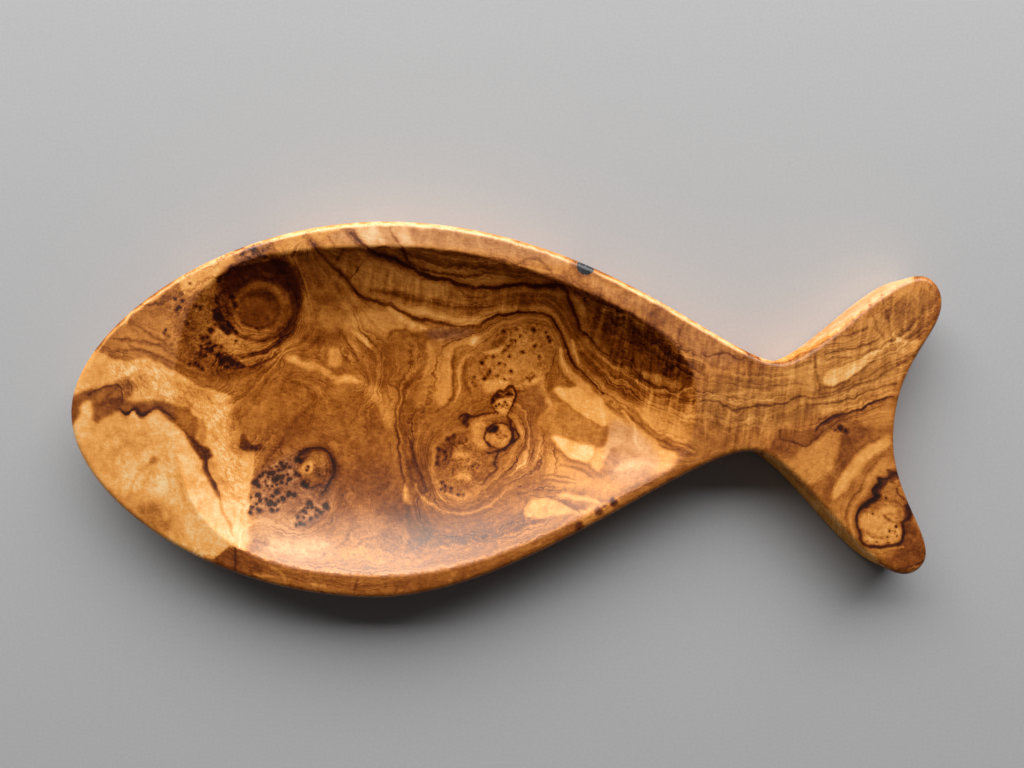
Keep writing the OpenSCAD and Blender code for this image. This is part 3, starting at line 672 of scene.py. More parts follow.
# Soft strokes of one tone: tone, width, softness, path
STROKES = {
    # Painted shade along the top of the hollow's wall, just under the back rim
    "edge of the hollow": (0.3, 5, 1.2, [
        (240, 266), (275, 257), (308, 252.5), (352, 249.5), (395, 249), (439, 251.5), (481, 258.5),
        (523, 269.5), (564, 284), (604, 302)]),
    "edge of the brown field": (0.28, 3, 2, [
        (285, 382), (300, 383), (310, 390), (314, 399), (309, 408), (300, 415), (292, 424), (284, 436),
        (277, 447), (268, 457), (262, 468)]),
    "inner ring of the knot": (0.16, 2, 2, [
        (241, 318), (240, 305), (246, 295), (256, 289), (267, 290), (275, 297), (279, 307), (278, 317),
        (272, 324), (263, 328), (252, 327), (243, 323)]),
    "brow of the knot": (0.15, 6, 3, [(249, 296), (257, 293), (266, 295), (272, 299)]),
    "first arc under the knot": (0.46, 2, 1.5, [(240, 328), (250, 331), (262, 331), (274, 329)]),
    "second arc under the knot": (0.22, 4, 2, [
        (236, 334), (247, 338), (258, 341), (270, 338), (282, 332)]),
    "third arc under the knot": (0.5, 5, 2, [(243, 345), (255, 348), (266, 346), (278, 339)]),
    "fourth arc under the knot": (0.2, 3, 1.5, [
        (240, 357), (252, 355), (262, 353), (274, 348), (286, 339), (296, 326)]),
    "fifth arc under the knot": (0.54, 3, 1.5, [(240, 361), (253, 361), (264, 357), (276, 350)]),
    "sixth arc under the knot": (0.22, 3, 1.5, [
        (225, 366), (240, 368), (254, 366), (266, 361), (280, 352)]),
    "upper dark band": (0.34, 5, 3, [
        (370, 290), (395, 293), (415, 300), (440, 304), (470, 309), (490, 306)]),
    "upper light band": (0.68, 6, 2.5, [
        (393, 303), (410, 310), (430, 314), (445, 319), (460, 322), (472, 321), (484, 318)]),
    "light under the long vein": (0.74, 6, 2, [(388, 308), (400, 317), (412, 324), (426, 328)]),
    "hook": (0.36, 3, 2, [(388, 340), (391, 333), (398, 330), (410, 331)]),
    "streak": (0.74, 4, 2, [(352, 331), (360, 335), (365, 341), (370, 347)]),
    "short streak": (0.7, 4, 2, [(428, 342), (430, 349), (432, 354)]),
    "edge of the light column": (0.3, 3, 1.5, [
        (472, 347), (460, 346), (454, 351), (452, 362), (454, 372), (452, 385), (455, 393), (450, 402),
        (444, 408), (436, 412)]),
    "second edge of the light column": (0.32, 4, 2, [(466, 358), (463, 370), (465, 383), (469, 394)]),
    "light beside it": (0.7, 3, 1.5, [
        (472, 355), (463, 358), (459, 366), (460, 380), (459, 392), (454, 402)]),
    "crown of the spotted burl": (0.38, 4, 2, [
        (484, 350), (498, 346), (505, 338), (512, 328), (524, 326), (538, 326)]),
    "second crown": (0.4, 4, 2, [(480, 358), (492, 357), (504, 352), (512, 344)]),
    "light at the crown": (0.7, 4, 2, [(482, 352), (496, 351), (503, 347)]),
    "light along the bounding vein": (0.72, 7, 2, [
        (560, 350), (563, 360), (567, 369), (573, 377), (581, 384), (590, 392), (598, 400), (606, 408),
        (615, 416)]),
    "column of the middle": (0.68, 5, 2, [(541, 368), (543, 384), (545, 397), (552, 406)]),
    "dark beside that column": (0.4, 6, 3, [(551, 368), (551, 382), (549, 393)]),
    "outer edge of the oval burl": (0.34, 4, 2, [
        (430, 440), (427, 452), (426, 465), (429, 478), (436, 490)]),
    "foot of the oval burl": (0.54, 5, 2, [(436, 493), (447, 501), (460, 503), (473, 498), (484, 488)]),
    "second swirl": (0.64, 4, 2, [(518, 424), (523, 434), (524, 444), (518, 458), (508, 470)]),
    "light between the swirls": (0.68, 9, 3, [(524, 452), (524, 460), (518, 468)]),
    "light past the swirls": (0.68, 7, 3, [(541, 446), (540, 454), (537, 460)]),
    "crack in the third blaze": (0.34, 2.5, 1, [(565, 502), (572, 507), (579, 511)]),
    "waist line of the hollow": (0.44, 2, 1.2, [(660, 445), (672, 449), (684, 452), (696, 455)]),
    "first line of the shoulder": (0.32, 2.5, 1.5, [(686, 320), (681, 330), (677, 341)]),
    "light above the tail line": (0.7, 4, 1.5, [
        (700, 399), (714, 397), (724, 401), (735, 405), (750, 403), (758, 399), (768, 400), (780, 403)]),
    "light over the second tail line": (0.72, 3, 1.5, [
        (846, 412), (860, 409), (870, 403), (880, 397), (890, 392), (900, 391)]),
    "light over the third tail line": (0.7, 4, 2, [
        (850, 401), (864, 394), (878, 387), (890, 381), (902, 377)]),
    "top line of the upper lobe": (0.34, 2, 1.2, [(828, 340), (842, 336), (858, 333), (868, 328)]),
    "second line of the upper lobe": (0.36, 2.5, 1.2, [
        (826, 355), (838, 350), (850, 350), (862, 346), (878, 340)]),
    "third line of the upper lobe": (0.38, 2.5, 1.2, [(826, 360), (838, 357), (850, 358)]),
    "upright line of the tail": (0.4, 1.8, 1.2, [(812, 350), (815, 365), (817, 380), (820, 392)]),
    "line at the root of the lobe": (0.4, 2, 1.2, [(792, 368), (800, 366), (808, 362), (813, 361)]),
    "hem of the lower lobe": (0.4, 2.5, 1.5, [
        (882, 452), (880, 460), (870, 468), (864, 480), (858, 492), (850, 502), (846, 514), (849, 528),
        (852, 540)]),
    "edge of the stripe": (0.4, 2.5, 1.5, [
        (828, 500), (831, 489), (840, 476), (850, 458), (862, 445), (880, 438)]),
    "ring round the tail knot": (0.66, 3, 1.5, [
        (851, 512), (850, 524), (855, 537), (860, 546), (872, 551), (888, 549), (902, 546)]),
    "streak of the nose": (0.68, 4, 4, [(176, 455), (181, 480), (186, 505)]),
    "fold of the rim below the nose": (0.34, 4, 2, [(262, 566), (275, 569), (285, 578), (290, 588)]),
    "light fold of the rim": (0.6, 3, 2, [(270, 566), (280, 572), (288, 584)]),
    "first swirl of the rim": (0.42, 2, 1.2, [
        (519, 263), (525, 260), (532, 258), (538, 259), (543, 263), (547, 268), (552, 272)]),
    "second swirl of the rim": (0.46, 2, 1.2, [(575, 263), (572, 268), (567, 272), (566, 278)]),
    "first line of the upper left rim": (0.34, 2, 1.5, [
        (100, 345), (120, 352), (140, 350), (160, 356), (180, 366), (195, 374), (215, 382)]),
    "second line of the upper left rim": (0.34, 2, 1.5, [
        (110, 338), (130, 340), (150, 342), (170, 352), (185, 362)]),
    "third line of the upper left rim": (0.36, 2, 1.5, [(128, 322), (145, 330), (160, 340), (172, 350)]),
    "light line of the upper left rim": (0.58, 3, 2, [(118, 344), (140, 346), (162, 354), (178, 362)]),
    "light ring of the oval burl": (0.57, 3, 1.5, [
        (450, 428), (437, 440), (431, 455), (431, 470), (434, 482), (441, 493), (455, 499), (470, 497),
        (482, 489), (495, 479), (508, 467), (515, 451), (518, 436)]),
    "crack under the bark eye": (0.18, 2, 1, [
        (499, 452), (497, 458), (494, 464), (498, 468), (488, 477), (480, 485)]),
    "first swirl line": (0.34, 2, 1.2, [
        (520, 418), (526, 428), (527, 438), (523, 448), (517, 460), (510, 470), (500, 478)]),
    "second swirl line": (0.36, 2, 1.2, [(528, 420), (533, 435), (533, 448), (531, 458)]),
    "first line of the lower right": (0.4, 1.8, 1.2, [
        (500, 500), (503, 493), (510, 488), (520, 487), (530, 484), (545, 480), (560, 481), (574, 484)]),
    "second line of the lower right": (0.42, 2, 1.2, [
        (430, 500), (445, 512), (465, 516), (485, 510), (505, 500), (525, 492), (545, 489), (565, 490)]),
    "third line of the lower right": (0.44, 2, 1.5, [
        (440, 522), (465, 527), (490, 522), (510, 514), (524, 508)]),
    "fourth line of the lower right": (0.46, 2, 1.5, [
        (475, 543), (494, 535), (507, 525), (515, 522), (522, 518), (523, 510), (526, 500)]),
    "line from the second blaze": (0.42, 1.5, 1, [
        (548, 437), (553, 445), (560, 452), (567, 459), (578, 462), (588, 465), (592, 471), (600, 475)]),
    "pale strip of the third blaze": (0.78, 4, 2, [(575, 498), (588, 500), (600, 503)]),
    "fan of the upper hollow": (0.3, 1.5, 1, [(460, 290), (468, 297), (480, 299), (490, 296)]),
    "second blade of the fan": (0.3, 1.5, 1, [(470, 303), (485, 303), (500, 300)]),
    "third blade of the fan": (0.32, 1.5, 1, [(470, 307), (490, 306), (505, 303)]),
    "second strand of the upper vein": (0.24, 2, 1.5, [
        (404, 262), (415, 265), (425, 271), (440, 273), (460, 276), (475, 276), (490, 272)]),
    "roof over the knotlet": (0.3, 2, 1.5, [
        (318, 345), (328, 335), (338, 330), (345, 337), (352, 348), (357, 360)]),
    "arch of the middle": (0.32, 2, 1.5, [(396, 375), (402, 368), (412, 366), (418, 372)]),
    "light spot of the middle": (0.8, 7, 3, [(473, 337), (474, 345)]),
    "first light of the end": (0.56, 2, 1.2, [
        (594, 348), (598, 354), (605, 360), (613, 367), (622, 369)]),
    "second light of the end": (0.62, 2.5, 1.2, [
        (636, 380), (643, 385), (650, 390), (660, 392), (670, 390), (678, 396)]),
    "second line of the end": (0.28, 2, 1.2, [
        (584, 350), (587, 358), (595, 365), (603, 372), (612, 377), (622, 381), (630, 387), (640, 392)]),
    "pale streak of the end": (0.66, 3, 1.5, [(572, 340), (575, 352), (579, 363)]),
    "third light of the end": (0.72, 3, 1.2, [
        (635, 408), (645, 418), (655, 430), (668, 437), (680, 446), (695, 452)]),
    "pale strand of the end": (0.82, 3, 1.5, [
        (622, 411), (630, 418), (636, 428), (634, 438), (639, 447)]),
    "first bar of the end": (0.66, 4, 2, [(652, 392), (650, 406), (646, 418)]),
    "second bar of the end": (0.58, 4, 2, [(690, 396), (690, 415), (686, 436)]),
    "third bar of the end": (0.6, 3, 2, [(672, 398), (670, 415), (668, 430)]),
    "second cross line of the end": (0.66, 2, 1.5, [(650, 418), (664, 420), (680, 419), (690, 421)]),
    "first streak under the shoulder": (0.38, 6, 3, [(594, 301), (590, 310), (589, 322), (593, 334)]),
    "second streak under the shoulder": (0.37, 5, 3, [(606, 305), (602, 316), (600, 330), (596, 340)]),
    "third streak under the shoulder": (0.37, 5, 3, [(627, 318), (624, 328), (622, 338), (627, 350)]),
    # Dark wood on the hollow's wall under the shoulder, with painted shade
    "first dark wood and painted shade of the shoulder wall": (0.17, 12, 5, [(637, 326), (640, 338), (642, 352)]),
    "upright of the lower left": (0.38, 1.8, 1.2, [
        (398, 440), (398, 465), (404, 475), (406, 488), (411, 500), (414, 520), (420, 525)]),
    "second upright of the lower left": (0.34, 1.8, 1.2, [(412, 440), (414, 460), (418, 478)]),
    "pale wedge of the lower left": (0.66, 6, 2.5, [(404, 488), (406, 495), (409, 502)]),
    "faint line of the nose": (0.66, 1.8, 1.2, [(220, 498), (222, 510), (229, 522), (234, 536)]),
    "first arc of the nose": (0.72, 3, 3, [(104, 446), (112, 436), (126, 432), (142, 434), (154, 440)]),
    "second arc of the nose": (0.7, 2.5, 3, [(112, 462), (118, 450), (132, 444), (148, 446)]),
    "third arc of the nose": (0.7, 3, 3, [(128, 500), (134, 482), (140, 470), (150, 464)]),
    "fourth arc of the nose": (0.72, 2.5, 3, [(142, 498), (144, 484), (150, 472)]),
    "light of the nose": (0.92, 9, 6, [(160, 466), (164, 478), (160, 490)]),
    "second light of the nose": (0.9, 8, 6, [(186, 456), (194, 470), (200, 486)]),
    "third light of the nose": (0.8, 6, 5, [(134, 426), (148, 424), (158, 424)]),
    "fourth light of the nose": (0.88, 8, 6, [(110, 366), (125, 370), (138, 364)]),
    "fifth light of the nose": (0.9, 8, 6, [(160, 384), (176, 392), (190, 400)]),
    "first shade of the nose": (0.66, 6, 5, [(136, 372), (146, 382), (150, 394)]),
    "second shade of the nose": (0.62, 6, 5, [(176, 396), (188, 402), (200, 412)]),
    "third shade of the nose": (0.66, 8, 6, [(212, 462), (216, 474), (226, 484)]),
    "blot of the crack": (0.1, 4, 1.5, [(121, 411), (126, 413.5), (130, 412.5)]),
    "first glow of the wavy light": (0.76, 3, 2.5, [(288, 357.5), (295, 358.5), (299, 361)]),
    "second glow of the wavy light": (0.78, 3, 3, [(336, 381.5), (342, 381), (349, 378.5), (355, 380)]),
    "gold of the middle": (0.6, 11, 7, [(366, 386), (378, 396), (386, 410), (389, 424)]),
    "first line in the oval burl": (0.26, 2, 1.5, [(453, 446), (451, 453), (450, 459), (447, 464)]),
    "second line in the oval burl": (0.36, 2, 1.5, [(456, 442), (463, 444), (470, 449), (476, 456)]),
    "third line in the oval burl": (0.4, 2, 1.5, [
        (452, 470), (458, 467), (466, 466), (473, 470), (476, 478)]),
    "light in the oval burl": (0.76, 6, 3, [(456, 477), (463, 474), (469, 478)]),
    "second light in the oval burl": (0.74, 4, 2.5, [(455, 456), (461, 454), (468, 458)]),
    "loop under the bark line": (0.46, 2, 1, [
        (477, 418), (481, 421), (485, 422), (488, 419), (489, 414)]),
    "second line in the tail knot": (0.34, 1.8, 1, [(888, 500), (895, 501), (900, 505), (905, 508)]),
    "third line in the tail knot": (0.42, 2, 1.2, [(883, 515), (888, 519), (893, 522), (898, 523)]),
    "fourth line in the tail knot": (0.48, 1.6, 1, [(884, 515), (892, 514), (900, 512)]),
    "fifth line in the tail knot": (0.5, 1.6, 1, [(867, 531), (871, 536), (878, 537), (885, 539)]),
    "first streak of the left stain": (0.36, 2.5, 2, [(118, 386), (110, 393), (102, 401), (97, 410)]),
    "second streak of the left stain": (0.5, 2, 2, [(113, 389), (105, 396), (99, 403)]),
    "third streak of the left stain": (0.34, 2.5, 2, [(120, 398), (112, 404), (104, 411), (99, 418)]),
    "first line on the rim": (0.34, 1.6, 1, [(351, 227), (355, 236), (361, 242), (369, 247)]),
    "second line on the rim": (0.42, 1.4, 1, [(389, 225), (392, 234), (397, 242), (403, 247)]),
    "third line on the rim": (0.5, 1.5, 1, [(329, 236), (332, 242), (334, 248)]),
    "dark of the upper vein": (0.2, 6, 3, [(366, 250), (378, 255), (390, 258), (400, 263), (412, 268)]),
    # More dark wood with painted shade on the hollow's wall under the shoulder
    "second dark wood and painted shade of the shoulder wall": (0.18, 6, 3, [(678, 350), (672, 360), (664, 374)]),
    "third dark wood and painted shade of the shoulder wall": (0.2, 6, 3, [(613, 308), (610, 318), (607, 332)]),
    "branch of the shoulder line": (0.42, 1.6, 1.2, [(748, 354), (745, 360), (744, 367)]),
    "first spot of the lower rim": (0.6, 2.5, 1.5, [(252, 572), (262, 576), (272, 577)]),
    "second spot of the lower rim": (0.64, 2, 1.5, [(312, 585), (318, 586), (324, 586)]),
    "line of the lower rim": (0.3, 1.8, 1.2, [(358, 578), (356, 585), (353, 592)]),
    "thin line of the tail": (0.42, 1.4, 1, [
        (838, 408), (852, 404), (864, 400), (876, 395), (890, 391), (897, 390)]),
    # Painted highlights along the rounded back edges of the rim, the shoulder and the nose, which face
    # the window
    "painted highlight on the edge of the rim": (0.93, 4, 1.2, [
        (230, 254), (255, 243.5), (280, 237), (320, 229), (360, 225), (400, 223.5), (440, 226.5),
        (480, 233.5), (520, 244), (570, 261)]),
    "painted highlight on the edge of the shoulder": (0.88, 4, 1.2, [
        (594, 271), (640, 293), (680, 315), (720, 339.5), (748, 354)]),
    "painted highlight on the edge of the nose": (0.88, 3, 1.2, [
        (97, 350), (120, 325), (140, 307), (160, 293), (180, 280), (200, 269), (220, 258.5),
        (240, 249.5)]),
    # Painted shade along the top of the hollow's wall under the shoulder
    "painted shade below the shoulder rim": (0.22, 9, 1.5, [
        (556, 283), (582, 294), (602, 303.5), (621, 313.5), (640, 324.5), (657, 336.5), (672, 351),
        (684, 368), (689, 380)]),
    "shade of the long vein": (0.3, 6, 3, [
        (312, 243), (320, 252), (328, 262), (338, 271), (347, 280), (352, 288), (362, 297)]),
    "light of the upper lobe": (0.86, 3, 1.5, [(893, 335), (899, 341), (907, 344), (916, 342)]),
    "upright line of the upper lobe": (0.38, 1.6, 1.2, [
        (880, 292), (884, 306), (888, 320), (890, 332), (892, 345)]),
    "second upright of the upper lobe": (0.42, 1.4, 1.2, [
        (868, 300), (873, 312), (876, 326), (884, 340)]),
    "first cross line of the upper lobe": (0.42, 1.4, 1, [
        (884, 308), (894, 312), (906, 311), (918, 315)]),
    "fine line of the waist": (0.42, 1.5, 1.2, [
        (690, 391), (704, 394), (718, 389), (732, 391), (748, 386), (764, 389), (780, 386), (796, 382),
        (808, 384)]),
    "light under that line": (0.64, 2, 1.2, [
        (690, 395), (704, 398), (718, 393), (732, 395), (748, 390), (764, 393), (780, 390), (796, 386)]),
    "first line of the foot": (0.38, 1.6, 1, [
        (352, 548), (365, 540), (380, 535), (395, 531), (408, 530)]),
    "second line of the foot": (0.4, 1.6, 1, [
        (362, 557), (376, 548), (390, 543), (402, 541), (410, 545), (408, 552), (398, 555), (392, 549),
        (400, 546)]),
    "third line of the foot": (0.44, 1.6, 1, [
        (320, 557), (335, 549), (346, 540), (352, 530), (362, 524)]),
    "fourth line of the foot": (0.4, 1.6, 1, [(418, 556), (436, 552), (452, 548), (470, 541)]),
    "fifth line of the foot": (0.4, 1.6, 1, [(416, 546), (432, 543), (450, 538), (468, 531), (486, 524)]),
    "sixth line of the foot": (0.42, 1.6, 1, [(425, 565), (445, 559), (465, 551), (485, 541)]),
    "dark beside the light band": (0.36, 2, 1.2, [(551, 352), (557, 364), (562, 375), (569, 384)]),
    "fifth line of the lower right": (0.44, 1.6, 1, [(536, 478), (548, 475), (560, 476), (574, 480)]),
    "sixth line of the lower right": (0.46, 1.6, 1, [(560, 464), (572, 468), (584, 470), (592, 478)]),
    "seventh line of the lower right": (0.44, 1.6, 1, [
        (548, 494), (562, 492), (578, 493), (594, 497), (610, 501)]),
    "eighth line of the lower right": (0.42, 1.6, 1, [(556, 500), (566, 502), (576, 507), (586, 509)]),
    "pale fleck of the lower right": (0.84, 5, 2.5, [(558, 496), (570, 495), (584, 500)]),
    "dark past the bounding vein": (0.4, 1.6, 1.2, [
        (602, 392), (612, 400), (620, 406), (628, 413), (636, 422), (645, 430), (655, 437), (668, 443),
        (680, 450)]),
    "second dark past the bounding vein": (0.44, 1.6, 1, [
        (634, 414), (644, 424), (656, 432), (670, 439), (684, 446)]),
    "first arc under the oval burl": (0.4, 1.6, 1, [
        (418, 478), (424, 492), (436, 503), (452, 510), (468, 510), (484, 503), (497, 493), (510, 482),
        (522, 476)]),
    "second arc under the oval burl": (0.64, 2, 1, [
        (415, 484), (422, 497), (435, 507), (452, 514), (468, 514), (486, 507), (499, 497), (512, 487)]),
    "third arc under the oval burl": (0.38, 1.6, 1, [
        (412, 490), (420, 502), (434, 512), (450, 518), (468, 518), (486, 511), (500, 501), (514, 491),
        (530, 484)]),
    "fourth arc under the oval burl": (0.42, 1.6, 1, [
        (430, 520), (446, 525), (462, 526), (480, 520), (496, 510), (508, 500)]),
    "lower edge of that blaze": (0.4, 1.5, 1, [
        (822, 389), (836, 386), (850, 380), (862, 371), (874, 361)]),
    "upper edge of that blaze": (0.44, 1.4, 1, [
        (823, 372), (836, 367), (848, 363), (860, 357), (872, 350)]),
}

# Crisp dark veins: darkness, width, path
VEINS = {
    "crack of the nose": (0.95, 2.6, [
        (119, 409), (124, 413), (128, 413.5), (132, 410), (134.5, 408), (137, 412), (140, 415.5),
        (144, 415), (148, 411.5), (153, 408.5), (158, 408), (163, 410.5), (168, 414), (174, 418)]),
    "edge of the left stain": (0.55, 1.6, [
        (88, 395), (98, 389), (108, 385), (118, 384), (122, 391), (121, 404)]),
    "edge of the right stain": (0.55, 1.6, [
        (183, 430), (190, 437), (198, 444), (204, 451), (206, 462), (209, 474), (214, 484), (219, 492),
        (221, 500)]),
    "long vein": (0.7, 3, [
        (310, 240), (318, 250), (325, 259), (333, 268), (342, 274), (348, 281), (352, 288), (358, 295),
        (370, 300), (383, 304), (391, 304), (398, 310), (410, 316), (422, 320), (432, 321), (445, 324),
        (455, 327), (468, 326), (480, 325)]),
    "branch of the long vein": (0.5, 1.2, [(344, 250), (337, 260), (333, 268)]),
    "second branch": (0.5, 1.2, [(364, 262), (356, 272), (348, 281)]),
    "upper vein": (1.0, 3.4, [
        (350, 234), (360, 242), (370, 250), (378, 255), (386, 257), (395, 259), (401, 264), (412, 268),
        (420, 273), (430, 277), (440, 279), (452, 281), (460, 285), (470, 288), (480, 288), (498, 288),
        (510, 284), (525, 283), (533, 287), (545, 286), (556, 285), (565, 289), (568, 297), (573, 308),
        (577, 318), (580, 328), (586, 334), (592, 340), (597, 347)]),
    "end of the upper vein": (0.75, 1.7, [
        (597, 347), (610, 357), (615, 362), (625, 364), (632, 367), (637, 373), (645, 381), (655, 386),
        (665, 388), (676, 392)]),
    "drop to the upper vein": (0.8, 2, [(402, 246), (405, 255), (410, 264)]),
    "bounding vein": (0.95, 2.3, [
        (480, 325), (488, 320), (497, 315), (508, 314), (518, 313), (530, 313), (540, 312), (551, 316),
        (556, 325), (562, 337), (567, 350), (572, 361), (577, 368), (586, 376), (594, 385), (604, 394)]),
    "first upright line": (0.5, 1.4, [
        (388, 384), (396, 387), (400, 393), (399, 402), (395, 411), (397, 424), (398, 440), (399, 455),
        (401, 470), (405, 478), (403, 488), (400, 500)]),
    "second upright line": (0.42, 1.2, [
        (405, 395), (404, 408), (399, 418), (403, 428), (410, 440), (412, 455), (417, 465), (420, 478),
        (426, 490)]),
    "third upright line": (0.36, 1.2, [(425, 444), (422, 458), (423, 474)]),
    "rim of the lower burl eye": (1.0, 2.2, [
        (297, 459), (303, 451), (312, 447), (322, 448), (330, 453), (334, 462), (335, 471), (331, 480),
        (327, 487), (322, 494)]),
    "inner rim of that eye": (0.6, 1, [
        (302, 484), (309, 488), (317, 487), (324, 481), (328, 472), (327, 462)]),
    "bark of the small knot": (1.0, 2.2, [
        (499, 413), (495, 409), (492, 405), (490, 400), (493, 396), (497, 394), (499, 390), (503, 392),
        (506, 389), (510, 386.5), (513, 387), (515, 391), (517, 395), (515, 400), (512, 405), (510, 411),
        (507, 416)]),
    "bark of the eye": (0.95, 1.7, [
        (497, 449), (489, 445), (483, 439), (484, 433), (488, 426), (493, 423.5), (500, 423), (506, 424),
        (511, 429)]),
    "bark line": (1.0, 2.6, [
        (507, 416), (509, 420), (511, 426), (512, 433), (512, 439), (509, 445), (503, 449.5),
        (495, 452.5), (487, 453)]),
    "tail line": (0.65, 1.5, [
        (683, 402), (694, 402), (705, 401), (718, 400), (724, 406), (735, 411), (748, 408), (757, 406),
        (770, 406), (785, 404), (792, 399), (800, 396), (812, 398), (825, 398), (840, 393)]),
    "doubled tail line": (0.45, 1.2, [
        (815, 394), (828, 395), (840, 390), (855, 383), (866, 377), (878, 370), (890, 362)]),
    "second tail line": (0.95, 2.2, [
        (816, 430), (822, 423), (832, 417), (842, 413.5), (855, 411), (868, 405), (880, 399), (890, 396),
        (897, 397)]),
    "shoulder line": (0.6, 1.2, [
        (703, 352), (704, 356), (708, 357), (714, 354), (722, 353), (728, 353), (733, 356), (738, 360),
        (744, 357), (748, 354)]),
    "root of the lower lobe": (0.7, 1.3, [
        (781, 430), (781, 440), (790, 440), (797, 444), (806, 447), (814, 441), (822, 432)]),
    "bark of the tail knot": (1.0, 2.6, [
        (899, 474), (893, 473), (889, 478), (883, 479.5), (877, 477.5), (880, 484), (874, 488),
        (873, 492), (877, 497), (869, 502), (862, 508), (857, 514), (856, 520), (858, 528), (862, 534),
        (861, 540), (864, 545), (871, 548), (880, 547), (889, 545), (897, 544), (903, 541), (904, 532),
        (903, 523), (905, 520), (911, 519), (910, 511), (908, 503)]),
    "line in the tail knot": (0.7, 1.4, [(897, 486), (897, 491), (900, 496), (905, 500), (909, 504)]),
    "line below the nose": (0.75, 1.2, [(235, 547), (236, 558), (236, 570)]),
    "outer bark of the eye": (0.9, 1.8, [
        (511, 425), (515, 429), (518, 434), (518, 439), (514, 441), (511, 444)]),
    "bark line to the oval burl": (0.8, 1.7, [
        (460, 420), (460, 416), (466, 414), (471, 416.5), (478, 415), (486, 413), (492, 413),
        (497, 412)]),
    "third tail line": (0.6, 1.4, [
        (808, 405), (830, 403), (848, 400), (860, 395), (872, 390), (885, 385), (897, 383)]),
    "end of the tail line": (0.6, 1.6, [
        (840, 393), (855, 387), (870, 380), (880, 376), (893, 368), (905, 361)]),
}

# Round dark dots: middle and radius
DOTS = [
    (281, 463, 2.4), (283, 467, 2.8), (279, 470, 2.4), (274, 473, 2.8), (270, 474, 2.4), (278, 477, 2.8),
    (284, 476, 2), (289, 467, 1.6), (276, 480, 3.2), (281, 483, 2.8), (290, 479, 2.4), (287, 483, 1.6),
    (263, 474, 2.4), (260, 477, 2.4), (256, 482, 3.2), (259, 485, 2.4), (266, 482, 1.6), (296, 473, 2.8),
    (300, 475, 2.4), (303, 484, 2.8), (306, 486, 2.4), (296, 461, 2.4), (300, 462, 2.8), (277, 492, 3.2),
    (273, 497, 2.4), (289, 494, 3.2), (294, 495, 2.8), (284, 499, 3.2), (279, 502, 1.6), (270, 503, 3.6),
    (275, 505, 2.4), (258, 495, 3.2), (260, 500, 2.4), (256, 503, 2), (252, 507, 2), (251, 513, 2.4),
    (259, 511, 2.8), (272, 510, 2.8), (277, 510, 2), (266, 500, 1.6), (309, 503, 2.8), (312, 507, 2.4),
    (307, 507, 2), (325, 505, 2.8), (327, 508, 2.4), (303, 511, 2), (318, 511, 2.4), (321, 513, 2),
    (316, 516, 1.6), (298, 517, 2), (300, 523, 2.8), (296, 525, 2.4), (305, 524, 1.6), (310, 519, 1.6),
    (308, 466, 1.6), (306.5, 470, 1.8), (254, 249, 2.4), (243, 253, 2), (240, 254, 1.2), (263, 250, 1.6),
    (268, 247, 1.2), (259, 255, 1.2), (265, 256, 1.6), (254, 255, 1.2), (250, 258, 1.2), (178, 307, 2.8),
    (176, 310, 2), (183, 301, 2), (190, 284, 1.2), (166, 330, 1.6), (168, 335, 1.2), (164, 333, 1.2),
    (172, 345, 1), (175, 300, 1.2), (187, 323, 1.6), (203, 337, 2.4), (208, 337, 2.4), (201, 346, 2),
    (207, 349, 2.4), (212, 351, 2.8), (209, 344, 2), (215, 347, 2), (217, 315, 4), (221, 318, 3.2),
    (214, 310, 2.4), (223, 327, 3.2), (227, 332, 3.2), (229, 325, 2.4), (211, 330, 2.8), (236, 331, 2.4),
    (219, 356, 3.2), (224, 358, 3.6), (222, 362, 3.2), (229, 359, 2.8), (233, 363, 3.2), (238, 364, 2.4),
    (228, 366, 2.4), (243, 366, 1.6), (218, 279, 2.4), (196, 364, 2), (199, 366, 2), (202, 368, 1.6),
    (189, 364, 1.6), (196, 307, 2.4), (201, 308, 2), (232, 297, 2.4), (235, 305, 2.4), (237, 341, 1.8),
    (222, 347, 1.6), (504, 333, 1.8), (516, 329, 1.4), (511, 342, 1.4), (515, 341, 1.4), (508, 346, 1),
    (505, 350, 1), (520, 336, 1.2), (535, 346, 1.8), (523, 352, 1.7), (510, 356, 1.4), (534, 330, 2.2),
    (548, 337, 2.2), (550, 341, 2.2), (546, 333, 1.4), (482, 362, 2.1), (491, 371, 1.5), (511, 371, 1.9),
    (485, 378, 1.9), (488, 374, 1.2), (504, 380, 1.2), (500, 363, 1), (505, 366, 1), (528, 378, 1),
    (532, 374, 0.9), (535, 376, 0.9), (530, 382, 1.2), (533, 379, 0.8), (474, 378, 1), (475, 385, 1.2),
    (472, 382, 0.8), (493, 356, 1.4), (498, 376, 0.9), (540, 357, 1.1), (494, 430, 2.1), (501, 433, 1),
    (497, 435, 0.8), (500, 438, 0.8), (505, 435, 0.7), (508, 393, 1.5), (512, 394, 1.3), (497, 405, 1.6),
    (500, 403, 1.4), (503, 405, 1), (506, 401.5, 1), (507, 405.5, 1.1), (493, 401, 1.5), (447, 439, 1.8),
    (453, 436, 1.4), (440, 449, 1.6), (437, 456, 1.6), (437, 463, 1.6), (444, 452, 1.3), (446, 458, 1.2),
    (466, 440, 1.2), (474, 464, 1), (478, 465, 1), (472, 467, 0.9), (476, 468, 1), (441, 483, 1.4),
    (445, 487, 1.6), (451, 489, 1.3), (441, 489, 1.2), (445, 492, 1.3), (451, 493, 1.3),
    (457, 495.5, 1.4), (463, 495, 1.4), (466, 417, 1.4), (465, 422, 1.4), (467, 425, 1.2),
    (605, 506, 0.8), (840, 428, 3.2), (846, 430, 2.4), (835, 430, 1.6), (897, 527, 1.7), (890, 530, 1.2),
    (894.5, 532, 1), (896, 536, 1), (887, 536, 0.9), (888, 541.5, 1), (877, 542, 1.4), (868, 541, 0.9),
    (893, 482, 1), (899, 484, 1.2), (886, 498, 1.2), (872, 513, 1.2),
]

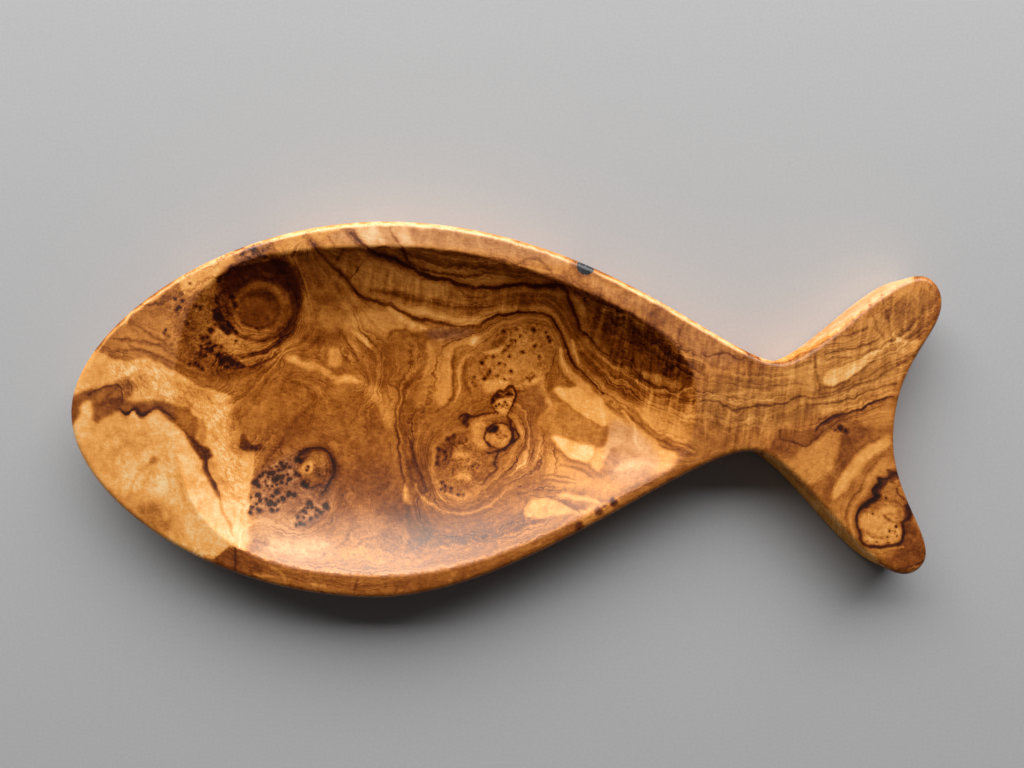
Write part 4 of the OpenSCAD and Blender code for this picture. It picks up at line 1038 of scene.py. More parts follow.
# Levels of the growth rings on strokes, veins and edges of patches. The rings follow these lines and
# spread evenly between them.
RING_LEVELS = {
    "long vein": 0,
    "upper vein": 36,
    "end of the upper vein": 36,
    "bounding vein": 0,
    "dark past the bounding vein": 0,
    "upper dark band": 16,
    "tail line": 30,
    "second tail line": 0,
    "third tail line": 14,
    "second line of the upper lobe": 70,
    "top line of the upper lobe": 88,
    "root of the lower lobe": -8,
    "edge of the stripe": -60,
    "hem of the lower lobe": -90,
    "bark of the tail knot": -112,
    "shoulder line": 80,
    "spotted burl": -30,
    "oval burl": -60,
    "bark eye": -64,
    "edge of the light column": -14,
    "waist line of the hollow": -8,
    "first upright line": 4,
    "second upright line": -4,
    "knot core": 110,
    "sixth arc under the knot": 70,
    "wavy light": 44,
    "edge of the brown field": 24,
    "lower burl": 24,
    "eye of the lower burl": 60,
    "crack of the nose": 70,
    "edge of the right stain": 50,
    "streak of the nose": 20,
    "second strand of the upper vein": 48,
    "second line of the end": 20,
    "second line of the lower right": -30,
    "first line of the lower right": -24,
    "third line of the lower right": -18,
    "fourth line of the lower right": -8,
    "first swirl line": -44,
    "second swirl line": -36,
    "first line of the upper left rim": 90,
    "third line of the upper left rim": 104,
}
# Lines that only lead the rings: level and path
GUIDES = {
    "foot of the hollow": (4, [
        (250, 540), (300, 552), (350, 556), (400, 558), (450, 552), (500, 540), (550, 522)]),
    "lower edge of the hollow": (22, [
        (240, 549), (300, 569), (350, 575), (400, 575), (450, 568), (500, 553), (560, 529)]),
    "edge of the lower rim": (44, [
        (215, 562), (260, 578), (320, 592), (400, 597), (480, 582), (540, 556), (600, 520), (660, 484),
        (700, 466)]),
    "edge of the shoulder": (96, [
        (590, 272), (640, 298), (690, 325), (740, 352), (765, 360), (790, 352), (830, 326), (870, 298),
        (910, 278)]),
    "under the shoulder": (58, [(600, 300), (650, 322), (690, 352), (730, 372), (780, 378), (820, 368)]),
    "top of the rim": (70, [(280, 245), (330, 232), (400, 228), (480, 236), (560, 262)]),
}

# The part of the rim to the right of the filler
RIGHT_RIM = [
    (580, 266), (640, 294), (700, 326), (745, 352), (740, 364), (700, 360), (684, 346), (660, 330),
    (630, 312), (586, 288)]

# The tables from here on have an amount, the softness of the edge and an outline.
# Where the grain catches the light in bars across it
RIBBONS = {
    "tail": (0.8, 12, [
        (690, 330), (760, 352), (800, 345), (860, 305), (920, 280), (945, 300), (905, 370), (895, 400),
        (830, 425), (780, 445), (700, 455), (690, 400)]),
    "under the shoulder": (0.8, 10, [
        (582, 284), (620, 300), (650, 318), (680, 350), (694, 385), (694, 430), (660, 425), (620, 385),
        (596, 350), (578, 318)]),
    "between the veins": (0.8, 10, [
        (330, 262), (360, 255), (420, 280), (480, 292), (550, 292), (560, 305), (480, 318), (400, 305),
        (345, 285)]),
    "top of the rim": (0.35, 6, [
        (275, 246), (330, 226), (450, 222), (575, 262), (570, 280), (450, 247), (330, 247)]),
    "right of the rim": (0.6, 4, RIGHT_RIM),
}
# Where the wood is full of small eyes
BURLS = {
    "knot": (1.0, 8, [
        (160, 300), (190, 288), (216, 282), (236, 300), (240, 325), (250, 350), (245, 372), (215, 378),
        (190, 366), (168, 345)]),
    "rim": (0.9, 4, [
        (232, 258), (236, 252), (247, 247), (258, 243), (268, 242), (275, 247), (273, 254), (250, 264),
        (240, 268)]),
    "lower burl": (0.9, 6, [
        (252, 478), (268, 462), (292, 452), (312, 446), (330, 456), (334, 484), (328, 512), (300, 528),
        (270, 516), (252, 510)]),
    "spotted burl": (0.5, 8, [
        (470, 360), (490, 345), (505, 330), (525, 322), (543, 323), (553, 335), (552, 355), (540, 375),
        (530, 386), (510, 388), (490, 392), (472, 390), (466, 375)]),
    "oval burl": (1.0, 5, [
        (437, 455), (445, 443), (458, 436), (470, 440), (478, 452), (481, 466), (477, 480), (465, 492),
        (450, 494), (440, 484), (434, 468)]),
    "bark knots": (0.8, 4, [
        (470, 418), (486, 415), (492, 392), (514, 386), (516, 404), (512, 425), (514, 440), (500, 450),
        (482, 448)]),
    "tail knot": (0.7, 4, [
        (876, 492), (894, 478), (904, 494), (911, 510), (904, 538), (880, 548), (862, 540), (858, 512)]),
}
# Where the grain is crinkled
CRINKLES = {
    "top of the sapwood": (1.0, 8, [
        (105, 360), (150, 362), (190, 385), (232, 405), (240, 440), (250, 470), (246, 520), (228, 505),
        (216, 450), (200, 415), (170, 402), (130, 400), (110, 380)]),
    "foot of the sapwood": (0.35, 14, [
        (90, 430), (160, 420), (200, 460), (215, 500), (225, 545), (150, 530), (100, 470)]),
    "foot of the hollow": (0.7, 10, [
        (250, 530), (300, 540), (350, 530), (400, 535), (450, 535), (520, 515), (570, 505), (520, 540),
        (450, 560), (380, 570), (300, 562), (255, 550)]),
}
# Where the rings hardly show
CALMS = {
    "nose": (0.9, 8, [
        (60, 360), (100, 352), (150, 360), (200, 390), (245, 410), (252, 470), (246, 540), (225, 550),
        (150, 545), (60, 450)]),
    "right of the knot": (0.8, 8, [
        (300, 280), (345, 280), (356, 330), (350, 346), (320, 350), (303, 345)]),
    "knot": (0.6, 8, [
        (215, 280), (260, 255), (298, 275), (303, 310), (285, 335), (255, 335), (230, 320)]),
    "lower burl": (0.8, 6, [
        (252, 478), (280, 455), (312, 446), (335, 460), (330, 510), (300, 530), (252, 516)]),
    "blazes": (1.0, 3, [
        (552, 387), (575, 376), (598, 394), (616, 416), (650, 440), (682, 452), (660, 474), (606, 492),
        (570, 462), (532, 425)]),
    "below the blazes": (0.9, 6, [(552, 462), (610, 458), (640, 478), (600, 508), (560, 500)]),
    "third blaze": (1.0, 3, [
        (524, 518), (527, 506), (542, 497), (576, 506), (604, 502), (596, 513), (550, 519)]),
    "lower lobe": (0.75, 8, [
        (778, 436), (806, 448), (830, 428), (895, 416), (912, 515), (930, 560), (880, 576), (820, 500)]),
    "middle field": (0.5, 12, [(320, 392), (390, 396), (396, 490), (350, 500), (338, 440)]),
    "brown field": (0.5, 10, [
        (232, 366), (300, 366), (345, 392), (318, 412), (280, 445), (250, 436), (232, 400)]),
    "tail root": (0.55, 10, [(696, 345), (750, 362), (800, 362), (806, 392), (700, 396)]),
    "lower rim": (0.4, 3, [
        (228, 546), (283, 566), (369, 577), (456, 568), (538, 539), (577, 520), (590, 540), (480, 592),
        (400, 610), (256, 590), (205, 566)]),
    "right of the rim": (0.8, 5, RIGHT_RIM),
    "top of the rim": (0.6, 5, [
        (300, 232), (400, 222), (480, 232), (575, 262), (570, 280), (500, 256), (400, 246), (300, 250)]),
    "spotted burl": (0.6, 8, [
        (470, 360), (490, 345), (505, 330), (525, 322), (543, 323), (553, 335), (552, 355), (540, 375),
        (510, 388), (472, 390), (466, 375)]),
    "between the veins": (0.7, 8, [
        (335, 256), (362, 250), (402, 270), (450, 286), (500, 294), (545, 294), (545, 306), (500, 304),
        (440, 300), (400, 298), (362, 290), (342, 272)]),
}
# Where the wood is full of dark bubbles
SPOTS = {
    "upper cluster of the lower burl": (1.0, 2, [
        (256, 478), (266, 472), (276, 462), (285, 460), (292, 468), (302, 478), (296, 484), (284, 484),
        (276, 490), (262, 486)]),
    "left cluster of the lower burl": (0.75, 2, [
        (252, 494), (262, 492), (262, 502), (258, 514), (248, 515), (248, 504)]),
    "middle cluster of the lower burl": (0.75, 2, [
        (266, 496), (278, 490), (294, 492), (295, 498), (284, 502), (279, 512), (270, 512)]),
    "right cluster of the lower burl": (0.85, 2, [
        (303, 506), (310, 501), (316, 506), (326, 502), (330, 508), (322, 516), (312, 520), (304, 528),
        (294, 527), (298, 517)]),
    "black of the knot": (0.5, 3, [
        (200, 338), (212, 346), (224, 356), (240, 364), (236, 370), (220, 364), (206, 354), (198, 346)]),
    "black beside the knot": (0.5, 3, [
        (210, 306), (222, 312), (230, 322), (226, 332), (216, 326), (210, 316)]),
}
# Redder and mauve wood above zero, olive wood below
HUES = {
    "right of the rim": (0.45, 8, [
        (575, 268), (640, 296), (700, 326), (745, 356), (740, 372), (700, 366), (680, 342), (640, 312),
        (590, 290)]),
    "top of the rim": (0.7, 8, [(330, 226), (450, 220), (570, 256), (565, 268), (450, 247), (330, 247)]),
    "burl of the rim": (0.7, 5, [(232, 258), (247, 247), (268, 242), (275, 247), (250, 264), (240, 268)]),
    "lower burl": (0.8, 10, [
        (250, 480), (275, 460), (300, 450), (330, 456), (336, 490), (328, 520), (290, 540), (252, 535)]),
    "upper lobe": (0.5, 6, [(815, 330), (852, 322), (856, 342), (820, 350)]),
    "mauve tongue": (0.8, 6, [(425, 328), (455, 328), (480, 331), (455, 340), (430, 341)]),
    "side of the upper lobe": (1.0, 3, [
        (760, 362), (790, 358), (836, 331), (884, 297), (918, 281), (905, 262), (830, 302), (765, 348)]),
    "mauve ground": (0.3, 10, [
        (515, 390), (535, 384), (556, 398), (552, 415), (536, 440), (548, 470), (520, 490), (495, 490),
        (516, 460), (522, 430)]),
    "fourth blaze": (0.8, 8, [(600, 446), (612, 414), (650, 438), (665, 470), (612, 490)]),
    "under the shoulder": (-0.5, 6, [
        (584, 290), (620, 310), (660, 334), (690, 376), (672, 386), (620, 360), (590, 325)]),
    "upper hollow": (-0.3, 14, [
        (340, 260), (380, 258), (450, 285), (540, 290), (560, 310), (600, 370), (680, 400), (680, 380),
        (620, 320), (560, 280), (430, 250)]),
    "tail": (-0.5, 12, [
        (700, 380), (780, 365), (860, 320), (920, 282), (940, 300), (905, 365), (890, 392), (830, 415),
        (780, 430), (700, 430)]),
    "left of the knot": (-0.4, 10, [(184, 300), (212, 284), (216, 320), (212, 345), (188, 345)]),
    "eye of the lower burl": (-0.3, 4, [
        (302, 452), (318, 449), (330, 460), (330, 476), (318, 486), (304, 484), (298, 468)]),
    "left foot": (0.9, 10, [(240, 528), (330, 530), (340, 556), (300, 566), (255, 552)]),
    "foot": (0.6, 12, [(320, 515), (350, 512), (430, 505), (436, 545), (400, 550), (340, 535)]),
    "brown tongue": (-0.3, 5, [
        (534, 420), (552, 408), (572, 411), (598, 426), (611, 438), (597, 447), (566, 438), (545, 432)]),
}

# How the tables above become fields: rounding of paths, tapers of lines, the grid of the ring levels
CORNER_CUT = 0.25
CORNER_ROUNDS = 2
LATTICE = 256
STROKE_TAPER = 0.25
STROKE_TIP = 0.35
VEIN_TAPER = 0.2
VEIN_TIP = 0.3
PULL_NEAR = 0.3
PULL_POWER = 4
REACH = 12.0
FIELD_STEP = 2
FIELD_LEVELS = 4
FIELD_ROUNDS = 80
FIRST_ROUNDS = 320
CELL_GUARD = 0.001


def rounded(path, loop=False):
    """A path with its corners cut, and cut again."""
    path = np.array(path, float)
    for _ in range(CORNER_ROUNDS):
        ahead = np.roll(path, -1, axis=0) if loop else path[1:]
        here = path if loop else path[:-1]
        first = (1 - CORNER_CUT) * here + CORNER_CUT * ahead
        second = CORNER_CUT * here + (1 - CORNER_CUT) * ahead
        cut_points = np.stack([first, second], 1).reshape(-1, 2)
        path = cut_points if loop else np.concatenate([path[:1], cut_points, path[-1:]])
    return path


def eased(share):
    """A share from 0 to 1, made flat at both ends."""
    return share * share * (3 - 2 * share)


def blended(grid, columns, rows, part):
    """Values between two columns and two rows of a grid, by the part of the way across and down."""
    across, down = part.T
    top, bottom = (grid[row, columns[0]] * (1 - across) + grid[row, columns[1]] * across for row in rows)
    return top * (1 - down) + bottom * down


def value_noise(points, cell, seed):
    """Smooth noise from -1 to 1 over the picture, with features of about a cell."""
    lattice = np.random.default_rng(seed).uniform(-1, 1, (LATTICE, LATTICE))
    place = points / cell
    whole = np.floor(place).astype(int)
    x0, y0 = whole.T % LATTICE
    x1, y1 = (whole.T + 1) % LATTICE
    return blended(lattice.T, (x0, x1), (y0, y1), eased(place - whole))


def near_box(points, path, reach):
    """Numbers of the points within reach of the box of a path."""
    low, high = path.min(0) - reach, path.max(0) + reach
    return np.nonzero(((points > low) & (points < high)).all(1))[0]


def soft_mask(gap, softness):
    """1 well inside an edge, 0 well outside it."""
    return eased(np.clip(0.5 - gap / (2 * softness), 0, 1))


def taper(share, run, tip):
    """The width along a line, as a share of its widest, that grows over a run in from each end."""
    return np.clip(np.minimum(share, 1 - share) / run, tip, 1)


def paint(field, points, value, path, softness, width=None):
    """Lays a value over a field, inside an outline or along a path of a width."""
    path = rounded(path, loop=width is None)
    near = near_box(points, path, softness + (width or 0))
    here = points[near]
    if width is None:
        gap, _ = path_distance(here, closed(path))
        gap[inside(here, path)] *= -1
    else:
        gap, share = path_distance(here, path)
        gap -= width / 2 * taper(share, STROKE_TAPER, STROKE_TIP)
    field[near] += (value - field[near]) * soft_mask(gap, softness)


def painted(points, patches, ground=0.0):
    """A field with patches laid one over the other."""
    field = np.full(len(points), ground)
    for value, softness, path in patches.values():
        paint(field, points, value, path, softness)
    return field


def picture_points(points):
    """Where the camera of the figure sees points of the dish, in pixels."""
    scale = FOCAL_PX / (EYE[2] - points[:, 2])
    x = PICTURE_PX[0] / 2 + (points[:, 0] - EYE[0]) * scale
    y = PICTURE_PX[1] / 2 - (points[:, 1] - EYE[1]) * scale
    return np.stack([x, y], 1)


def ring_lines():
    """The paths that have a level of the growth rings, each with that level."""
    for name, level in RING_LEVELS.items():
        if name in PATCHES:
            yield level, closed(rounded(PATCHES[name][-1], loop=True))
        else:
            yield level, rounded((STROKES.get(name) or VEINS[name])[-1])
    for level, path in GUIDES.values():
        yield level, rounded(path)


def block_sums(cells, rows, columns, block):
    """Sums of a grid over square blocks of its cells."""
    whole = cells[: rows * block, : columns * block]
    return whole.reshape(rows, block, columns, block).sum((1, 3))


def ring_marks(shape):
    """Sums and counts of the levels whose lines cross each cell of a grid over the picture."""
    total, count = np.zeros(shape), np.zeros(shape)
    for level, path in ring_lines():
        for a, b in zip(path[:-1], path[1:]):
            steps = max(2, int(np.linalg.norm(b - a)))
            spots = (a + np.linspace(0, 1, steps)[:, None] * (b - a)) / FIELD_STEP
            columns, rows = np.clip(spots.astype(int), 0, np.array(shape[::-1]) - 1).T
            np.add.at(total, (rows, columns), level)
            np.add.at(count, (rows, columns), 1)
    return total, count


def ring_field():
    """Levels of the growth rings over the picture, even between the lines that have a level."""
    shape = (PICTURE_PX[1] // FIELD_STEP, PICTURE_PX[0] // FIELD_STEP)
    marks = ring_marks(shape)
    field = None
    for depth in reversed(range(FIELD_LEVELS)):
        block = 2**depth
        rows, columns = shape[0] // block, shape[1] // block
        sums, counts = (block_sums(cells, rows, columns, block) for cells in marks)
        fixed = counts > 0
        given = sums[fixed] / counts[fixed]
        if field is None:
            field = np.full((rows, columns), given.mean())
            rounds = FIRST_ROUNDS
        else:
            field = np.kron(field, np.ones((2, 2)))[:rows, :columns]
            rounds = FIELD_ROUNDS
        for _ in range(rounds):
            edge = np.pad(field, 1, mode="edge")
            field = (edge[:-2, 1:-1] + edge[2:, 1:-1] + edge[1:-1, :-2] + edge[1:-1, 2:]) / 4
            field[fixed] = given
    return field


def sampled(field, points):
    """A field of the picture at points, between its cells."""
    place = np.clip(points / FIELD_STEP - 0.5, 0, np.array(field.shape[::-1]) - 1 - CELL_GUARD)
    whole = place.astype(int)
    x, y = whole.T
    return blended(field, (x, x + 1), (y, y + 1), place - whole)


# How the figure wavers and leans, where the wood is polished, and where its lines shape the mesh
WAVER = 1.3
WAVER_CELL = 7
LEAN = (0.8, 0.6)
LEAN_MOST = 16.0
EDGE_THIN = 4
EDGE_WORN_SHARE = 0.02
EDGE_WORN_MOST = 0.08
SIDE_POLISH = 0.0
EDGE_POLISH = 0.35
DULL_POLISH = 0.25
DULL_ROWS = (400, 520)
DULL_COLUMNS = (420, 520)
DULL_END = 0.65
LINE_STEP = 1.7
SETTLE_ROUNDS = 12
DOT_SPREAD = 1.2
# A dot's middle and six points round it
DOT_STAR = np.array([(0, 0), (1, 0), (-0.5, 0.87), (-0.5, -0.87), (-1, 0), (0.5, 0.87), (0.5, -0.87)])


def figure_points(points):
    """Picture points of the figure, which leans where it goes down a side that the camera can't see."""
    flat = picture_points(points)
    side = points[:, 2] < height - EDGE_R
    side &= bowl_size(points[:, :2] + (fish_l / 2, 0)) > 1
    edge = outline.ring(EDGE_R) - (fish_l / 2, 0)
    edge = picture_points(np.column_stack([edge, np.full(len(edge), height)]))
    low = np.nonzero(side & inside(flat, edge))[0]
    gap, _ = path_distance(flat[low], closed(edge[::EDGE_THIN]))
    flat[low] += np.minimum(gap, LEAN_MOST)[:, None] * LEAN
    return flat + waver(flat)


def waver(flat):
    """How far the figure is moved at picture points, so that no line of it runs too smoothly."""
    return WAVER * np.stack([value_noise(flat, WAVER_CELL, seed) for seed in (1, 2)], 1)


def surface_points(pixels):
    """Places on the top of the dish, seen at pixels of the picture."""
    z = np.full(len(pixels), float(height))
    for _ in range(SETTLE_ROUNDS):
        from_middle = (pixels - np.array(PICTURE_PX) / 2) * (1, -1)
        flat = from_middle * ((EYE[2] - z) / FOCAL_PX)[:, None] + EYE[:2] + (fish_l / 2, 0)
        size = bowl_size(flat)
        z = np.where(size < 1, bowl_height(np.minimum(size, 1)), height)
    return flat


def even_path(path, step):
    """Points a step apart along a path."""
    way = np.concatenate([[0], np.cumsum(np.linalg.norm(np.diff(path, axis=0), axis=1))])
    spots = np.linspace(0, way[-1], max(2, round(way[-1] / step)))
    return np.stack([np.interp(spots, way, path[:, k]) for k in (0, 1)], 1)


def figure_lines():
    """Pixels along the middle and both sides of the lines of the figure, where the mesh gets points."""
    found = []
    crisp = [(width, path) for _, width, path in VEINS.values()]
    soft = [(width + softness, path) for _, width, softness, path in STROKES.values()]
    for width, path in crisp + soft:
        path = even_path(rounded(path), LINE_STEP)
        way = np.gradient(path, axis=0)
        side = np.stack([way[:, 1], -way[:, 0]], 1) / np.linalg.norm(way, axis=1)[:, None]
        for offset in (0, 1, -1):
            found.append(path + offset * max(width, LINE_STEP) * side)
    for x, y, radius in DOTS:
        found.append(np.array([(x, y)]) + DOT_SPREAD * radius * DOT_STAR)
    lines = np.concatenate(found)
    return lines - waver(lines - waver(lines))


def vein_fields(points):
    """The distance from the edge of the nearest vein, and how dark that vein is."""
    nearest = np.full(len(points), REACH)
    dark_sum = np.zeros(len(points))
    weight = np.full(len(points), TINY)
    for dark, width, path in VEINS.values():
        path = rounded(path)
        near = near_box(points, path, REACH)
        gap, share = path_distance(points[near], path)
        gap -= width / 2 * taper(share, VEIN_TAPER, VEIN_TIP)
        nearest[near] = np.minimum(nearest[near], gap)
        pull = 1 / np.maximum(gap + width, PULL_NEAR) ** PULL_POWER
        dark_sum[near] += dark * pull
        weight[near] += pull
    return nearest, dark_sum / weight


def dot_field(points):
    """The distance from the edge of the nearest dot."""
    nearest = np.full(len(points), REACH)
    for x, y, radius in DOTS:
        near = np.nonzero((np.abs(points - (x, y)) < radius + REACH).all(1))[0]
        gap = np.linalg.norm(points[near] - (x, y), axis=1) - radius
        nearest[near] = np.minimum(nearest[near], gap)
    return nearest


def polish(points, flat):
    """How glossy the wood is: less in the far part and the tail end of the hollow, and on its edges."""
    size = bowl_size(points[:, :2] + (fish_l / 2, 0))
    hollow = np.interp(flat[:, 1], DULL_ROWS, (DULL_POLISH, 1.0))
    hollow *= np.interp(flat[:, 0], DULL_COLUMNS, (1.0, DULL_END))
    worn_depths = (EDGE_R * EDGE_WORN_SHARE, EDGE_R * EDGE_WORN_MOST, EDGE_R)
    outside = np.interp(height - points[:, 2], worn_depths, (1, EDGE_POLISH, SIDE_POLISH))
    return np.where(size < 1, hollow, outside)


def figure_fields(points):
    """The tone, growth rings, veins, dots and other fields of the wood at points of the dish."""
    flat = figure_points(points)
    tone = painted(flat, PATCHES, WOOD_TONE)
    for value, width, softness, path in STROKES.values():
        paint(tone, flat, value, path, softness, width)
    vein_gap, vein_dark = vein_fields(flat)
    return {
        "tone": tone,
        "polish": polish(points, flat),
        "rings": sampled(ring_field(), flat),
        "ribbon": painted(flat, RIBBONS),
        "burl": painted(flat, BURLS),
        "crinkle": painted(flat, CRINKLES),
        "hue": painted(flat, HUES),
        "calm": painted(flat, CALMS),
        "spots": painted(flat, SPOTS),
        "vein_gap": vein_gap,
        "vein_dark": vein_dark,
        "dot_gap": dot_field(flat),
    }


def store(piece):
    """Keeps the fields of the wood on the points of a piece."""
    points = np.empty(len(piece.data.vertices) * 3)
    piece.data.vertices.foreach_get("co", points)
    for name, values in figure_fields(points.reshape(-1, 3) / MM).items():
        piece.data.attributes.new(name, "FLOAT", "POINT").data.foreach_set("value", values)


def near_loop(points, loop, reach):
    """Which points lie within reach of a closed loop, tested against its own close-set points."""
    found = np.zeros(len(points), bool)
    for p in loop:
        found |= ((points - p) ** 2).sum(1) < reach**2
    return found


def hex_points(loop, step):
    """Points of a honeycomb grid over the box of a loop."""
    low, high = loop.min(0), loop.max(0)
    row_gap = step * math.sqrt(3) / 2
    rows = []
    for j, y in enumerate(np.arange(low[1], high[1], row_gap)):
        x = np.arange(low[0], high[0], step) + (j % 2) * step / 2
        rows.append(np.stack([x, np.full_like(x, y)], 1))
    return np.concatenate(rows)


def thinned(points, gap):
    """Points with at most one left in each square of a grid."""
    _, first = np.unique(np.round(points / gap), axis=0, return_index=True)
    return points[np.sort(first)]


def clear_of(points, others, gap):
    """Which points are further than a gap from all the others."""
    tree = KDTree(len(others))
    for i, p in enumerate(others):
        tree.insert((*p, 0), i)
    tree.balance()
    return np.array([tree.find((*p, 0))[2] > gap for p in points])


def filled(outer, step, hole=None, lines=None):
    """Points inside a loop, less a hole, and triangles over the loop, the hole and the points."""
    points = hex_points(outer, step)
    if lines is not None:
        points = np.concatenate([lines, points[clear_of(points, lines, step * LINE_CLEAR_SHARE)]])
    clear = step * LOOP_CLEAR_SHARE
    keep = inside(points, outer) & ~near_loop(points, outer, clear)
    if hole is not None:
        keep &= ~inside(points, hole) & ~near_loop(points, hole, clear)
    points = points[keep]
    loops = [outer] if hole is None else [outer, hole]
    edges = []
    start = 0
    for loop in loops:
        edges += [(start + k, start + (k + 1) % len(loop)) for k in range(len(loop))]
        start += len(loop)
    everything = np.concatenate(loops + [points])
    corners = [Vector(p) for p in everything]
    _, _, faces, sources, _, _ = delaunay_2d_cdt(corners, edges, [], INSIDE_ONLY, WELD)
    triangles = np.array([[sources[i][0] for i in face] for face in faces])
    if hole is not None:
        triangles = triangles[~inside(everything[triangles].mean(1), hole)]
    a, b, c = (everything[triangles[:, k]] for k in range(3))
    turn = (b - a)[:, 0] * (c - a)[:, 1] - (b - a)[:, 1] * (c - a)[:, 0]
    triangles[turn < 0] = triangles[turn < 0][:, ::-1]
    return points, triangles


class Surface:
    """Collects rings and fills of points, and the faces between them."""

    def __init__(self):
        self.points = []
        self.faces = []
        self.count = 0

    def add(self, flat, z):
        z = np.broadcast_to(z, len(flat))
        self.points.append(np.column_stack([flat, z]))
        first = self.count
        self.count += len(flat)
        return np.arange(first, self.count)

    def join(self, lower, upper):
        """Faces between two rings of one count, seen from outside a clockwise outline."""
        a, b = np.roll(lower, -1), np.roll(upper, -1)
        self.faces += np.stack([lower, upper, b, a], 1).tolist()

    def fill(self, indices, triangles, upward):
        faces = indices[triangles]
        self.faces += (faces if upward else faces[:, ::-1]).tolist()

    def mesh(self, name):
        mesh = bpy.data.meshes.new(name)
        points = np.concatenate(self.points) - (fish_l / 2, 0, 0)
        mesh.from_pydata((points * MM).tolist(), [], self.faces)
        mesh.update()
        return mesh


def turns(angle):
    """Angles from zero to an angle, in even steps."""
    return np.linspace(0, angle, ROUND_STEPS + 1)


def carved_mesh():
    """The whole dish as one closed skin: base, side, rim, hollow wall and hollow floor."""
    skin = Surface()
    quarter = turns(math.pi / 2)
    layers = [(BASE_R * (1 - math.sin(a)), BASE_R * (1 - math.cos(a))) for a in quarter]
    side = height - EDGE_R - BASE_R
    layers += [(0, BASE_R + side * k / SIDE_STEPS) for k in range(1, SIDE_STEPS)]
    layers += [(EDGE_R * (1 - math.cos(a)), height - EDGE_R * (1 - math.sin(a))) for a in quarter]
    rings = [skin.add(outline.ring(inset), z) for inset, z in layers]
    for lower, upper in zip(rings, rings[1:]):
        skin.join(lower, upper)

    base_loop = outline.ring(BASE_R)
    points, triangles = filled(base_loop, BASE_STEP)
    skin.fill(np.concatenate([rings[0], skin.add(points, 0)]), triangles, False)

    ease_out = RIM_R * math.sin(wall_angle)
    rolls = turns(wall_angle)
    ease = [(RIM_R * math.sin(a) - ease_out, height - RIM_R * (1 - math.cos(a))) for a in rolls]
    ease_rings = [skin.add(rim.ring(inset), z) for inset, z in ease]
    for upper, lower in zip(ease_rings, ease_rings[1:]):
        skin.join(upper, lower)

    lines = thinned(surface_points(figure_lines()), LINE_THIN)
    points, triangles = filled(outline.ring(EDGE_R), TOP_STEP, rim.ring(-ease_out), lines)
    skin.fill(np.concatenate([rings[-1], ease_rings[0], skin.add(points, height)]), triangles, True)

    points, triangles = filled(rim.ring(0), TOP_STEP, lines=lines)
    floor = skin.add(points, bowl_height(bowl_size(points)))
    skin.fill(np.concatenate([ease_rings[-1], floor]), triangles, True)
    return skin.mesh("dish")


def placed(name, data):
    """A new object in the scene with a mesh, lamp or camera."""
    piece = bpy.data.objects.new(name, data)
    bpy.context.scene.collection.objects.link(piece)
    return piece


def knot_hole():
    """The cone of the knot hole, as a cutting shape."""
    place = inset_points(outline.curves[BACK_EDGE], [FILL_SHARE], FILL_INSET)[0]
    flare = (FILL_R - FILL_TIP_R) * OVERRUN / FILL_DEPTH
    shape = bmesh.new()
    bmesh.ops.create_cone(
        shape,
        cap_ends=True,
        segments=HOLE_SIDES,
        radius1=FILL_TIP_R * MM,
        radius2=(FILL_R + flare) * MM,
        depth=(FILL_DEPTH + OVERRUN) * MM,
    )
    middle = height - FILL_DEPTH + (FILL_DEPTH + OVERRUN) / 2
    move = Vector((place[0] - fish_l / 2, place[1], middle)) * MM
    bmesh.ops.translate(shape, verts=shape.verts, vec=move)
    mesh = bpy.data.meshes.new("knot_hole")
    shape.to_mesh(mesh)
    shape.free()
    return placed("knot_hole", mesh)


def cut(piece, cutter, operation):
    """The piece's mesh after a Boolean with the cutter."""
    modifier = piece.modifiers.new("cut", "BOOLEAN")
    modifier.object = cutter
    modifier.operation = operation
    modifier.solver = "MANIFOLD"
    shown = piece.evaluated_get(bpy.context.evaluated_depsgraph_get())
    mesh = bpy.data.meshes.new_from_object(shown)
    piece.modifiers.remove(modifier)
    return mesh


def finish_piece(piece, name, node):
    """Names and smooths a piece, hangs it under the root body and hides the solid that it replaces."""
    piece.name = name
    piece.data.name = name
    piece.data.shade_smooth()
    piece.data.set_sharp_from_angle(angle=CREASE)
    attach(piece, "root")
    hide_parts(node)


dish = placed("dish", carved_mesh())
cutter = knot_hole()
filler = placed("filler", cut(dish, cutter, "INTERSECT"))
dish.data = cut(dish, cutter, "DIFFERENCE")
bpy.data.objects.remove(cutter)
finish_piece(dish, "dish", "dish_body")
finish_piece(filler, "filler", "rim_filler")
store(dish)


def srgb(red, green, blue):
    """A colour written in screen values, as linear light."""
    parts = (c / 255 for c in (red, green, blue))
    return tuple(c / 12.92 if c <= 0.04045 else ((c + 0.055) / 1.055) ** 2.4 for c in parts) + (1,)


